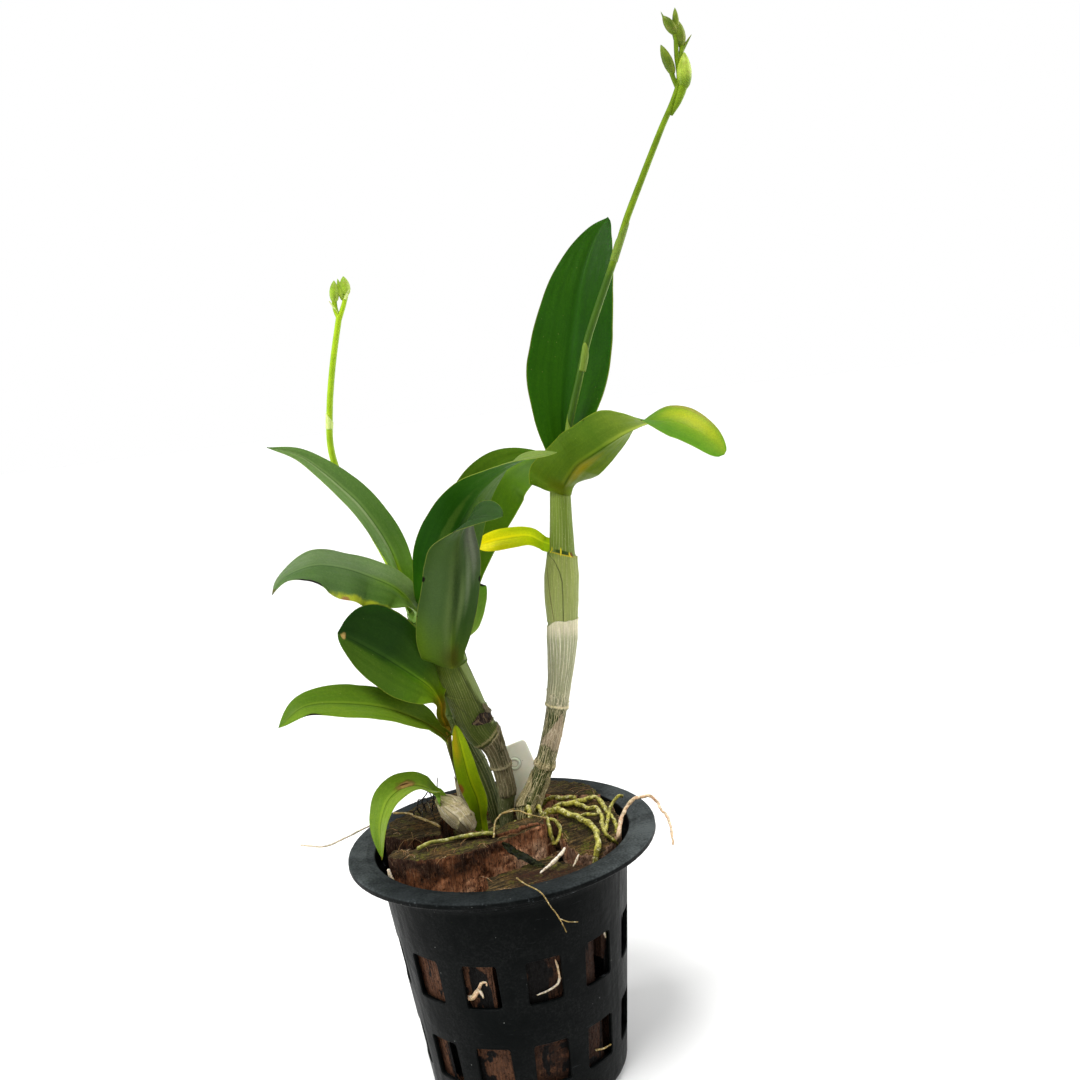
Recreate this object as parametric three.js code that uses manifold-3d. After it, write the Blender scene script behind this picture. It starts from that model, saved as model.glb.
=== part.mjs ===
// A young dendrobium orchid in a net pot of coconut husk.
// Millimetres, +Z up. The origin is the centre of the pot's underside and -Y is
// the front. Angles round the pot are measured from the front towards +X.

import * as THREE from 'three';
import { mergeVertices } from 'three/addons/utils/BufferGeometryUtils.js';
import Module from 'manifold-3d';

const wasm = await Module();
wasm.setup();

// ---- Driving dimensions ----

const GAP = 0.3; // clear space between pieces that touch
const CLEARANCE = 0.4; // cut from a piece round the stem, root or label in it
const BLADE_THICKNESS = 0.9;
const BLADE_LEAST_HALF = 0.5; // half-width at a leaf's very tip

const POT_HEIGHT = 80;
const POT_SIDES = 40;
const RIM_RADIUS = 49;
const RIM_BORE = 40.4;
const RIM_THICKNESS = 2.2;
const RIM_EDGE = 0.6;
const RIM_STEP_RADIUS = 43;
const RIM_STEP = 0.4;
const COLLAR_RADIUS = 41.5;
const COLLAR_BOTTOM = 73;
const COLLAR_EDGE = 0.8;
const BORE_TAPER = 1.5; // height over which the collar's bore narrows to the wall's
const WALL_TOP_RADIUS = 39.4;
const WALL_BASE_RADIUS = 32;
const FOOT_RADIUS = 28.5;
const FOOT_HEIGHT = 4; // the wall starts above this rounded edge
const WALL = 1.5;
const FLOOR = 1.8;

const WINDOWS_PER_ROW = 12;
const WINDOW_WIDTH = 10.6;
const WINDOW_REACH = 5; // how far its cutter goes past the wall
const WINDOW_ROWS = [[12.5, 26.5], [40.3, 54.5]]; // lower and upper edge of each row
const DRAIN_SLOTS = 8;
const DRAIN_WIDTH = 3;
const DRAIN_REACH = [13, 26]; // from and to this distance from the centre

const HUSK_ROUGHNESS = 0.7;
const HUSK_EDGE_STEP = 9; // longest straight stretch of a chunk's outline
const WEDGE = { gap: 2.5, tip: 3 }; // clear space at its sides, distance of its tip from the centre
const HUSK_CLEARANCE = 0.8; // between the husk and the pot
const HUSK_LAYERS = [[2.4, 35.5], [36.5, 60]];

const LABEL = { width: 13, height: 34, thickness: 0.8, corner: 1.5, lean: 16, foot: [13.1, 26.4, 67] };

// ---- Finishes ----

const FINISHES = {
  pot: { color: 0x1b1f21, roughness: 0.55 },
  husk: { color: 0x6b4630, roughness: 0.95 },
  cane: { color: 0x788c46, roughness: 0.6 },
  sheath: { color: 0xb4b090, roughness: 0.8 },
  leaf: { color: 0x3f7426, roughness: 0.45 },
  youngLeaf: { color: 0x9cad1c, roughness: 0.45 },
  spike: { color: 0x8fb02c, roughness: 0.5 },
  root: { color: 0xa3a857, roughness: 0.8 },
  rootTip: { color: 0xe6dfc8, roughness: 0.6 },
  label: { color: 0xd9ddd6, roughness: 0.4 },
};

// ---- Geometry helpers ----

const vector = ([x, y, z]) => new THREE.Vector3(x, y, z);
const curveThrough = (points) => new THREE.CatmullRomCurve3(points.map(vector), false, 'centripetal');
const { lerp, degToRad } = THREE.MathUtils;

// The value at u of a list spread evenly from 0 to 1.
function spread(list, u) {
  const place = u * (list.length - 1);
  const index = Math.min(Math.floor(place), list.length - 2);
  return lerp(list[index], list[index + 1], place - index);
}

// The second number at x in a list of [x, value] pairs.
function tableValue(table, x) {
  const next = table.findIndex(([key]) => key > x);
  if (next === -1) return table.at(-1)[1];
  if (next === 0) return table[0][1];
  const [x0, v0] = table[next - 1];
  const [x1, v1] = table[next];
  return lerp(v0, v1, (x - x0) / (x1 - x0));
}

function seededRandom(seed) {
  let state = seed;
  return () => {
    state = (state * 1664525 + 1013904223) % 4294967296;
    return state / 4294967296;
  };
}

function weld(geometry) {
  const bare = geometry.clone();
  for (const name of Object.keys(bare.attributes)) {
    if (name !== 'position') bare.deleteAttribute(name);
  }
  return mergeVertices(bare, 1e-4);
}

function solid(geometry) {
  const welded = weld(geometry);
  const corners = welded.index.array;
  const kept = [];
  for (let i = 0; i < corners.length; i += 3) {
    const [a, b, c] = corners.slice(i, i + 3);
    if (a !== b && b !== c && c !== a) kept.push(a, b, c);
  }
  const mesh = new wasm.Mesh({
    numProp: 3,
    vertProperties: new Float32Array(welded.attributes.position.array),
    triVerts: new Uint32Array(kept),
  });
  return new wasm.Manifold(mesh);
}

const fuse = (solids) => solids.reduce((whole, piece) => whole.add(piece));
const cut = (whole, cutters) => cutters.reduce((rest, cutter) => rest.subtract(cutter), whole);
const largest = (whole) => whole.decompose().sort((a, b) => b.volume() - a.volume())[0];

function geometryOf(manifold) {
  const { vertProperties, triVerts } = manifold.getMesh();
  const geometry = new THREE.BufferGeometry();
  geometry.setAttribute('position', new THREE.BufferAttribute(vertProperties, 3));
  geometry.setIndex(new THREE.BufferAttribute(triVerts, 1));
  return geometry;
}

// A closed round bar along a curve. radiusAt takes the fraction of the length
// and the point on the curve.
function bar(curve, radiusAt, sides = 6, steps = 10) {
  const geometry = weld(new THREE.CylinderGeometry(1, 1, 1, sides, steps));
  const frames = curve.computeFrenetFrames(steps);
  const position = geometry.attributes.position;
  for (let i = 0; i < position.count; i += 1) {
    const step = Math.round((position.getY(i) + 0.5) * steps);
    const u = step / steps;
    const centre = curve.getPointAt(u);
    const radius = radiusAt(u, centre);
    const point = centre
      .addScaledVector(frames.normals[step], position.getX(i) * radius)
      .addScaledVector(frames.binormals[step], -position.getZ(i) * radius);
    position.setXYZ(i, point.x, point.y, point.z);
  }
  return solid(geometry);
}

// The points with both ends moved outwards.
function stretched(points, extra) {
  const path = points.map(vector);
  const move = (end, next) => end.addScaledVector(end.clone().sub(next).normalize(), extra);
  move(path[0], path[1]);
  move(path.at(-1), path.at(-2));
  return path.map((point) => point.toArray());
}

// A bar of even taper through the points.
function tube(points, [startRadius, endRadius], sides = 6, steps = 10) {
  return bar(curveThrough(points), (u) => lerp(startRadius, endRadius, u), sides, steps);
}

// A pointed bud from its base to its tip.
function bud(base, tip, width, sides = 6) {
  const profile = [[0, 0], [0.7, 0.12], [1, 0.45], [0.6, 0.82], [0, 1]];
  const axis = vector(tip).sub(vector(base));
  const points = profile.map(([r, h]) => new THREE.Vector2((r * width) / 2, h * axis.length()));
  const geometry = new THREE.LatheGeometry(points, sides);
  const upright = new THREE.Vector3(0, 1, 0);
  const turn = new THREE.Quaternion().setFromUnitVectors(upright, axis.clone().normalize());
  geometry.applyQuaternion(turn);
  geometry.translate(...base);
  return solid(geometry);
}

// ---- Leaf blades ----

const pair = (value) => (Array.isArray(value) ? value : [value, value]);

// Half-width along the leaf as a share of the widest: it opens from the base to
// the belly, then closes to the tip, round where blunt is small.
function bladeShape(u, base, belly, blunt) {
  if (u < belly) return lerp(base, 1, Math.sin((Math.PI / 2) * (u / belly)) ** 0.8);
  const beyond = (u - belly) / (1 - belly);
  return (1 - beyond ** 2) ** blunt;
}

// A leaf blade along its midrib. facing lists the way that the upper face looks,
// evenly from base to tip, and fold how far, in degrees, the halves rise from flat.
// width, base, belly and blunt may differ between the two halves.
function blade(leaf) {
  const { spine, facing, fold, petiole, ripple = 0, ripples = 2, steps = 12, lanes = 4 } = leaf;
  const [width, base, belly, blunt] = [leaf.width, leaf.base, leaf.belly, leaf.blunt].map(pair);
  const curve = curveThrough(spine);
  const rows = steps + 1;
  const columns = lanes + 1;
  const positions = [];
  const up = new THREE.Vector3();
  for (const side of [0.5, -0.5]) {
    for (let i = 0; i < rows; i += 1) {
      const u = i / steps;
      const centre = curve.getPointAt(u);
      const along = curve.getTangentAt(u);
      up.set(...[0, 1, 2].map((axis) => spread(facing.map((way) => way[axis]), u)));
      up.addScaledVector(along, -up.dot(along)).normalize();
      const across = along.clone().cross(up);
      const halves = width.map((whole, k) => (
        Math.max((whole / 2) * bladeShape(u, base[k], belly[k], blunt[k]), BLADE_LEAST_HALF)
      ));
      const angle = degToRad(spread(fold, u));
      for (let j = 0; j < columns; j += 1) {
        const lane = (2 * j) / lanes - 1;
        const half = halves[lane < 0 ? 0 : 1];
        const wave = ripple * Math.sin(2 * Math.PI * ripples * u) * lane ** 2 * Math.sign(lane);
        const lift = half * Math.abs(lane) ** 1.3 * Math.sin(angle) + wave;
        const point = centre.clone()
          .addScaledVector(across, half * lane * Math.cos(angle))
          .addScaledVector(up, lift + side * BLADE_THICKNESS);
        positions.push(point.x, point.y, point.z);
      }
    }
  }
  const upper = (i, j) => i * columns + j;
  const lower = (i, j) => rows * columns + upper(i, j);
  const corners = [];
  const quad = (a, b, c, d) => corners.push(a, b, c, a, c, d);
  for (let i = 0; i < steps; i += 1) {
    for (let j = 0; j < lanes; j += 1) {
      quad(upper(i, j), upper(i, j + 1), upper(i + 1, j + 1), upper(i + 1, j));
      corners.push(lower(i, j), lower(i + 1, j + 1), lower(i, j + 1));
      corners.push(lower(i, j), lower(i + 1, j), lower(i + 1, j + 1));
    }
    quad(upper(i, 0), upper(i + 1, 0), lower(i + 1, 0), lower(i, 0));
    quad(upper(i, lanes), lower(i, lanes), lower(i + 1, lanes), upper(i + 1, lanes));
  }
  for (let j = 0; j < lanes; j += 1) {
    quad(upper(0, j), lower(0, j), lower(0, j + 1), upper(0, j + 1));
    quad(upper(steps, j), upper(steps, j + 1), lower(steps, j + 1), lower(steps, j));
  }
  const geometry = new THREE.BufferGeometry();
  geometry.setAttribute('position', new THREE.Float32BufferAttribute(positions, 3));
  geometry.setIndex(corners);
  const leafSolid = solid(geometry);
  return petiole ? leafSolid.add(tube(petiole, [1.1, 1.4], 6, 4)) : leafSolid;
}

// ---- Net pot ----

function lathe(profile, sides = POT_SIDES) {
  const points = profile.map(([radius, height]) => new THREE.Vector2(radius, height));
  return solid(new THREE.LatheGeometry(points, sides).rotateX(Math.PI / 2));
}

// A box that stands across a radius of the pot.
function radialBox(width, [from, to], [bottom, top], angle) {
  const box = new THREE.BoxGeometry(width, to - from, top - bottom);
  box.translate(0, -(from + to) / 2, (bottom + top) / 2);
  return solid(box.rotateZ(angle));
}

function netPot() {
  const rimUnderside = POT_HEIGHT - RIM_THICKNESS;
  const shell = lathe([
    [0, 0],
    [FOOT_RADIUS, 0],
    [WALL_BASE_RADIUS - 0.8, FOOT_HEIGHT / 3],
    [WALL_BASE_RADIUS, FOOT_HEIGHT],
    [WALL_TOP_RADIUS, COLLAR_BOTTOM],
    [COLLAR_RADIUS, COLLAR_BOTTOM + COLLAR_EDGE],
    [COLLAR_RADIUS, rimUnderside],
    [RIM_RADIUS - RIM_EDGE, rimUnderside],
    [RIM_RADIUS, rimUnderside + RIM_EDGE],
    [RIM_RADIUS, POT_HEIGHT - RIM_EDGE],
    [RIM_RADIUS - RIM_EDGE, POT_HEIGHT],
    [RIM_STEP_RADIUS, POT_HEIGHT],
    [RIM_STEP_RADIUS - RIM_STEP, POT_HEIGHT - RIM_STEP],
    [RIM_BORE, POT_HEIGHT - RIM_STEP],
    [RIM_BORE, COLLAR_BOTTOM + BORE_TAPER],
    [WALL_TOP_RADIUS - WALL, COLLAR_BOTTOM],
    [WALL_BASE_RADIUS - WALL, FOOT_HEIGHT + 1],
    [FOOT_RADIUS, FLOOR],
    [0, FLOOR],
  ]);
  const windowReach = [WALL_BASE_RADIUS - WINDOW_REACH, WALL_TOP_RADIUS + WINDOW_REACH];
  const windows = WINDOW_ROWS.flatMap((row) => Array.from({ length: WINDOWS_PER_ROW }, (_, i) => (
    radialBox(WINDOW_WIDTH, windowReach, row, ((i + 0.5) / WINDOWS_PER_ROW) * 2 * Math.PI)
  )));
  const slots = Array.from({ length: DRAIN_SLOTS }, (_, i) => (
    radialBox(DRAIN_WIDTH, DRAIN_REACH, [-FLOOR, 2 * FLOOR], (i / DRAIN_SLOTS) * 2 * Math.PI)
  ));
  return cut(shell, [...windows, ...slots]);
}

// The room for the husk, open above the rim.
const huskTop = POT_HEIGHT + 20;
const potInside = lathe([
  [0, FLOOR + GAP],
  [FOOT_RADIUS - HUSK_CLEARANCE, FLOOR + GAP],
  [WALL_BASE_RADIUS - WALL - HUSK_CLEARANCE, FOOT_HEIGHT + 2],
  [WALL_TOP_RADIUS - WALL - HUSK_CLEARANCE, COLLAR_BOTTOM],
  [RIM_BORE - HUSK_CLEARANCE, COLLAR_BOTTOM + BORE_TAPER],
  [RIM_BORE - HUSK_CLEARANCE, huskTop],
  [0, huskTop],
]);

// ---- Canes and the small bulb ----

// axis is the middle line from the base up, girth lists [height, radius].
const CANES = {
  cane_tall: {
    axis: [
      [7.5, 13.5, 75], [9, 13, 82.5], [11.5, 12.5, 87.5], [15.5, 12, 95.5], [19, 12, 105],
      [22, 12, 115], [25.5, 12, 131.5], [27, 12, 142], [28, 12, 153.5], [29.5, 12.5, 165],
      [30.5, 13, 176], [31.5, 13.5, 187.5],
    ],
    girth: [
      [75, 2.6], [80, 3.8], [83, 4.2], [88, 3.4], [96, 3.1], [116, 3.3], [124, 3.6], [131, 4.2],
      [138, 4.8], [143, 4.7], [150, 5.3], [158, 5.45], [163.5, 4.8], [166.5, 4.5], [176, 4.1], [187.5, 3.7],
    ],
    sides: 10,
    steps: 22,
    finish: 'cane',
  },
  cane_middle: {
    axis: [
      [1, 14, 75], [1.5, 14, 83], [2.5, 13.5, 89.5], [2, 13, 95.5], [1, 12, 102], [-0.5, 11, 107],
      [-3.5, 10, 112], [-5.5, 9, 118], [-7, 8, 124], [-8.5, 7, 130], [-10, 6, 137],
    ],
    girth: [
      [75, 2.3], [83, 2.9], [89, 3.3], [96, 3.6], [103, 3.9], [106.5, 4.3], [110, 5.3], [118, 5.5],
      [125, 5.4], [131, 5.2], [137, 4.7],
    ],
    sides: 10,
    steps: 14,
    finish: 'cane',
  },
  cane_left: {
    axis: [
      [-2, 20.5, 75], [-3, 21, 82], [-4, 21.5, 87], [-6, 22, 94.5], [-9, 22.5, 102.5],
      [-12, 22.5, 110.5], [-13.5, 22.5, 118], [-17, 22, 134], [-21, 21, 150],
    ],
    girth: [[75, 2.2], [84, 2.8], [95, 3.2], [106, 2.8], [120, 2.6], [135, 2.8], [150, 2.4]],
    sides: 8,
    steps: 10,
    finish: 'cane',
  },
  cane_slender: {
    axis: [
      [-13, 25.5, 76], [-13, 25, 84], [-13.5, 23, 91], [-14, 20, 98.5], [-14.5, 16, 106], [-14.5, 12.5, 112],
    ],
    girth: [[76, 1.5], [84, 1.9], [89, 1.6], [93, 1], [106, 1], [112, 1.4]],
    sides: 8,
    steps: 9,
    finish: 'sheath',
  },
  bulb_small: {
    axis: [[-19, 4.5, 91.5], [-16.5, 5, 89], [-13.5, 5.5, 85.5], [-11.5, 6, 82], [-10.5, 6.5, 79]],
    girth: [[79, 1.4], [81, 3], [84, 4.2], [88, 4.2], [90, 3.2], [91.5, 1.6]],
    sides: 9,
    steps: 8,
    finish: 'sheath',
  },
};

const cane = ({ axis, girth, sides, steps }, extra = 0) => (
  bar(curveThrough(stretched(axis, extra)), (u, point) => tableValue(girth, point.z) + extra, sides, steps)
);

// ---- Leaves ----

const LEAVES = {
  leaf_tall_upright: {
    spine: [
      [33.5, 16, 191.5], [35.4, 17, 207], [39.3, 21, 225], [42.5, 25, 237.5], [45.5, 28, 248.5],
      [49.5, 31, 258.5], [53.5, 33, 265.5], [57.5, 34, 270],
    ],
    facing: [[-0.1, -1, 0.1], [-0.1, -1, 0.3], [-0.2, -1, 0.4]],
    width: [27.5, 28], base: 0.22, belly: 0.38, blunt: [0.95, 0.6],
    fold: [45, 20, 14, 8],
    ripple: 0.5,
  },
  leaf_tall_front: {
    spine: [
      [32, 9.6, 186], [34.5, 3.5, 190], [37.5, -3, 194], [41.5, -9, 197], [47.5, -15, 200.5],
      [53.5, -21, 204.5], [59.5, -25, 207], [65.5, -29, 206.3], [71.5, -33, 200.8], [76.3, -35, 194.2],
    ],
    facing: [[0, 1, 0.4], [0.45, 0.75, 0.45], [0.55, 0.35, 0.8], [0.35, -0.45, 0.8], [0.35, -0.5, 0.7]],
    width: [15.5, 21], base: [0.4, 1], belly: 0.16, blunt: [0.4, 0.38],
    fold: [30, 22, 12, 8],
    ripple: 0.5,
  },
  leaf_tall_yellow: {
    spine: [[24.3, 11.5, 168.5], [20, 10.5, 172], [13.3, 9.5, 171.7], [3.2, 9.5, 169.3]],
    facing: [[0.1, -1, 0.4], [0, -1, 0.5]],
    width: 6.8, base: 0.5, belly: 0.6, blunt: 0.5,
    fold: [20, 10],
    steps: 8,
    finish: 'youngLeaf',
  },
  leaf_mid_front: {
    spine: [
      [-9, 0.8, 136.8], [-7, -4, 148.5], [-4.3, -8, 158.8], [-2.4, -12, 168.6], [-0.6, -17, 177.5],
      [3, -22, 182.8], [8.5, -27, 185], [13.5, -31, 184.5],
    ],
    facing: [[0, 1, 0.2], [-0.1, 0.95, 0.3], [-0.25, 0.8, 0.5], [-0.6, 0.1, 0.8], [-0.4, -0.5, 0.75]],
    width: [17, 22.5], base: [0.5, 0.95], belly: 0.22, blunt: [0.5, 0.8],
    fold: [10, 18, 12, 8],
    ripple: 0.6,
  },
  leaf_mid_back_left: {
    spine: [
      [-13.6, 5.6, 142], [-13, 4.4, 153.2], [-8.5, 2.5, 166.5], [-3.4, -0.5, 176.5], [3.5, -3.5, 186.5],
      [10, -6.5, 192.3], [19.5, -11, 197.8], [31, -15, 199.3],
    ],
    facing: [[0.3, 0.9, 0], [0.2, 0.9, 0.1], [-0.1, 0.8, 0.5], [-0.45, 0.35, 0.8], [-0.4, -0.2, 0.9]],
    width: [22, 21], base: 0.4, belly: 0.3, blunt: 0.8,
    fold: [40, 20, 14, 8],
    ripple: 0.5,
  },
  leaf_mid_back_right: {
    spine: [
      [-9.5, 13, 139], [-7.2, 16, 152.6], [-3.1, 19, 167.7], [4, 22, 181.7], [13, 23.5, 192], [27, 24, 197.3],
    ],
    facing: [[0.2, -1, 0.2], [0.3, -0.9, 0.4], [0.3, -0.8, 0.6]],
    width: [22, 25], base: [0.3, 0.1], belly: [0.55, 0.78], blunt: [0.8, 0.5],
    fold: [35, 18, 10],
  },
  leaf_mid_cut: {
    spine: [[-5.3, 7.2, 139.8], [-2.7, 8.4, 144.5], [0.1, 9.9, 150.6], [2.3, 11.4, 159]],
    facing: [[-0.6, -0.8, 0.2], [-0.5, -0.9, 0.3]],
    width: 9.4, base: 0.6, belly: 0.5, blunt: 0.15,
    fold: [25, 15],
    steps: 5,
  },
  leaf_left_upper: {
    spine: [
      [-22, 21, 152.5], [-25.2, 18.5, 171.7], [-32, 14, 187.5], [-37, 12, 194.5], [-42.5, 10, 201],
      [-48.5, 8, 206.5], [-57, 5, 210],
    ],
    facing: [[0.6, -0.8, 0.2], [0.5, -0.8, 0.4], [0.3, -0.8, 0.6]],
    width: [11, 12], base: 0.5, belly: 0.4, blunt: [1, 1],
    fold: [40, 25, 20, 10],
  },
  leaf_left_mid: {
    spine: [
      [-20, 14, 153.8], [-24.6, 10.5, 160.8], [-31.7, 6, 166.2], [-38, -1, 170.7], [-44.4, -8, 173.5],
      [-49.4, -13, 173.4], [-53.6, -17, 171.8], [-56.2, -20, 168.2],
    ],
    facing: [[0, -0.6, 0.8], [-0.1, -0.8, 0.6], [-0.1, -0.8, 0.6], [-0.4, -0.4, 0.6]],
    width: [21, 16.5], base: 0.3, belly: 0.45, blunt: [1, 0.7],
    fold: [20, -12, -12, -5],
    ripple: 0.6,
  },
  leaf_left_round: {
    spine: [
      [-14.8, 8.8, 122], [-17.3, 6.5, 128.1], [-21.6, 3.7, 133.3], [-28.8, -1, 141], [-36.1, -4.5, 147.7],
      [-41.2, -8, 152.3],
    ],
    facing: [[0, -0.9, 0.4], [0, -0.9, 0.5], [0.1, -0.9, 0.5]],
    width: [19, 28.5], base: [0.12, 0.1], belly: [0.45, 0.74], blunt: [0.6, 0.5],
    fold: [20, 10, 6],
    petiole: [[-14, 14, 113.2], [-15.2, 12.6, 117], [-15.5, 10.6, 121.5], [-16.8, 8.8, 125.5]],
  },
  leaf_left_lowest: {
    spine: [
      [-16.5, 10, 112.2], [-20.2, 6.6, 116.8], [-29.4, -1.8, 124.8], [-41, -13, 131.5], [-52, -21, 134],
      [-59, -25, 129.8],
    ],
    facing: [[0, -0.8, 0.6], [0, -0.6, 0.8], [-0.2, -0.6, 0.8]],
    width: 15.6, base: 0.16, belly: 0.55, blunt: 0.8,
    fold: [40, 8, 4],
  },
  leaf_low_arch: {
    spine: [
      [-19.6, 4, 93.3], [-21.4, 0, 97.2], [-25.1, -4, 100.3], [-29, -8, 101], [-32.6, -11, 99],
      [-35, -13, 94.5], [-36.3, -13.5, 89], [-36.8, -13, 81],
    ],
    facing: [[0.3, -0.5, 0.8], [-0.1, -0.5, 0.9], [-0.7, -0.6, 0.4], [-0.8, -0.6, 0]],
    width: 12, base: 0.3, belly: 0.5, blunt: 0.9,
    fold: [30, 15, 10],
  },
  leaf_shoot: {
    spine: [[-7, 8.5, 81.5], [-7, 6, 89.5], [-8.5, 4, 97], [-9.5, 3, 106], [-10.5, 3, 116]],
    facing: [[0.1, -1, 0.1], [0, -1, 0.1], [0, -1, 0.1]],
    width: 7.5, base: 0.45, belly: 0.4, blunt: 0.6,
    fold: [25, 15, 10],
    steps: 8,
    finish: 'youngLeaf',
  },
};

// ---- Flower spikes ----

function spikeTall() {
  const stem = tube([
    [33, 11.5, 192], [36.5, 11, 205.5], [41, 10, 219], [45, 9, 231], [50.2, 8, 242.5], [55.3, 7, 253.3],
    [60.5, 6, 265.2], [66.2, 5, 276.3], [73.2, 4, 289.5], [78, 4, 298], [80, 4, 303], [80, 4, 310],
    [80.5, 4, 318],
  ], [1.2, 0.65], 6, 16);
  return fuse([
    stem,
    tube([[44, 9, 227], [45.5, 9, 232], [46.5, 8.5, 234]], [1.4, 1.25], 6, 2),
    tube([[58.6, 6.2, 261.5], [60.5, 6, 265.2], [62.5, 5.6, 269]], [1.35, 1.15], 6, 2),
    tube([[76, 4, 294], [80.5, 3.5, 299], [82.2, 3.5, 303.5]], [0.8, 1], 5, 4),
    bud([81.8, 3.5, 302.5], [82.5, 3, 311], 4.2),
    tube([[79.3, 4, 300.5], [78.4, 4.2, 304], [77.8, 4.2, 306.5]], [0.7, 0.8], 5, 3),
    bud([78.2, 4.2, 305], [76, 4.3, 313.2], 3.2),
    tube([[80, 4, 307], [81.6, 4.6, 311], [82, 4.8, 314]], [0.7, 0.8], 5, 3),
    bud([81.8, 4.8, 312.5], [81.6, 5, 320.3], 3.6),
    bud([82, 4.8, 312], [84.8, 4.8, 315.5], 1),
    bud([80.6, 4, 316.5], [77.2, 3.8, 321.3], 2.8),
    bud([80.6, 4, 316.5], [80.8, 3.8, 323.5], 2.2),
  ]);
}

function spikeLeft() {
  const stem = tube([
    [-22, 23.5, 154], [-27, 25, 168], [-34, 25, 187], [-38.5, 23, 199], [-40, 21, 207],
    [-38.7, 20, 219], [-35.7, 20, 233], [-31.5, 20, 248],
  ], [1.25, 1], 6, 14);
  return fuse([
    stem,
    tube([[-39.1, 20.2, 216], [-38.6, 20, 219.5]], [1.35, 1.25], 6, 1),
    tube([[-31.6, 20, 247], [-32.4, 20, 250], [-32.4, 20, 253]], [0.9, 0.8], 5, 2),
    bud([-32.4, 20, 252], [-31.6, 20, 259], 2.9, 6),
    bud([-32, 19.8, 248.5], [-34, 19.8, 253.5], 0.9, 4),
    tube([[-31.6, 20, 247], [-29.7, 20, 251], [-28.3, 20.3, 254.5]], [0.9, 0.7], 5, 3),
    bud([-28.4, 20.3, 253.8], [-28.6, 20.5, 260], 3.2, 6),
    bud([-28.8, 19.8, 252.8], [-26.9, 19.8, 256.2], 0.9, 4),
    bud([-29.8, 20, 252.5], [-30.4, 20, 259.4], 1.7, 5),
  ]);
}

// ---- Rhizome and roots ----

const RHIZOME = [[-13, 25, 74], [-8, 22.5, 73.5], [-3, 20, 73], [1.5, 14.5, 73], [8, 13, 73.5]];
const RHIZOME_BRANCH = [[-2, 18.5, 73], [-6.5, 10, 75], [-10, 7, 77]];

const rhizome = (extra = 0) => fuse([
  tube(stretched(RHIZOME, extra), [2.4 + extra, 2.8 + extra], 8, 10),
  tube(stretched(RHIZOME_BRANCH, extra), [2.2 + extra, 1.8 + extra], 7, 5),
]);

// Each root is a list of points and its radius at either end.
const THICK_ROOTS = [
  [[[8, 13, 74], [11.5, 17.5, 79], [16, 16.5, 83], [20, 13.5, 84], [24.5, 12.5, 84]], [1, 0.8]],
  [[
    [8, 13, 74], [13, 9, 78.5], [17, 10.5, 82], [23, 9, 83.5], [28, 11, 83.5], [31, 12, 83.5], [33, 7.5, 83],
    [34, 0, 82.5], [35.5, -3, 81.5], [36.3, -5.5, 80], [36, -7, 78], [35.5, -7.5, 75],
  ], [1.1, 0.7]],
  [[
    [8, 12, 74], [12, 7.5, 79], [15, 9, 81.5], [18, 6.5, 82.7], [21, 3, 82.8], [24, -0.5, 82.5], [27, -4, 82],
    [29, -8.5, 81.5], [30, -14, 80.3], [29.5, -18, 78.5], [28, -19.5, 75],
  ], [1.1, 1.1]],
  [[
    [24, 9.3, 83.4], [26.5, 6.5, 83.2], [28.5, 4, 83], [31, 2.5, 83], [32, -2, 82.3], [32, -8, 81.5],
    [32.5, -11.5, 80], [34, -11.5, 78.3], [35.3, -9.5, 76],
  ], [0.9, 0.7]],
  [[[24.5, -1, 82.5], [27, -0.8, 82.8], [31.8, -1.5, 82.4]], [0.7, 0.6]],
  [[
    [35, -8.5, 75.5], [36.3, -10, 78.5], [37.3, -8, 81], [38.8, -5.5, 83.5], [40.5, -4, 85.5],
    [42.5, -3.5, 87],
    [45.5, -4.5, 88], [48, -4.5, 88.2], [49.5, -5, 87], [50.5, -8, 85], [52, -11, 83], [52.3, -14.5, 81.5],
    [52.3, -17.5, 79.5], [52.5, -19, 77.5],
  ], [0.8, 0.4]],
  [[
    [32.4, -10.5, 80.4], [33.3, -5.5, 81.5], [34.8, -1, 83.5], [36.5, 2, 85], [38.5, 3, 86], [39.8, 3.5, 86],
  ], [0.7, 0.6]],
  [[[8, 12, 74], [9.5, 7.5, 77], [9.3, 8, 80], [9.2, 5.5, 80.5], [9, 3.5, 78]], [0.9, 0.8]],
  [[[6, 12, 74], [5.2, 8, 77.5], [4.8, 8.3, 79.5], [2.5, 6.5, 79.5], [0.5, 6, 78.3]], [0.8, 0.6]],
  [[[8, 12, 74], [13, 8, 78], [14.3, 7, 80.5], [15, 2.5, 81], [15.5, -2.5, 80], [16, -5, 76]], [0.9, 0.7]],
];

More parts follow.
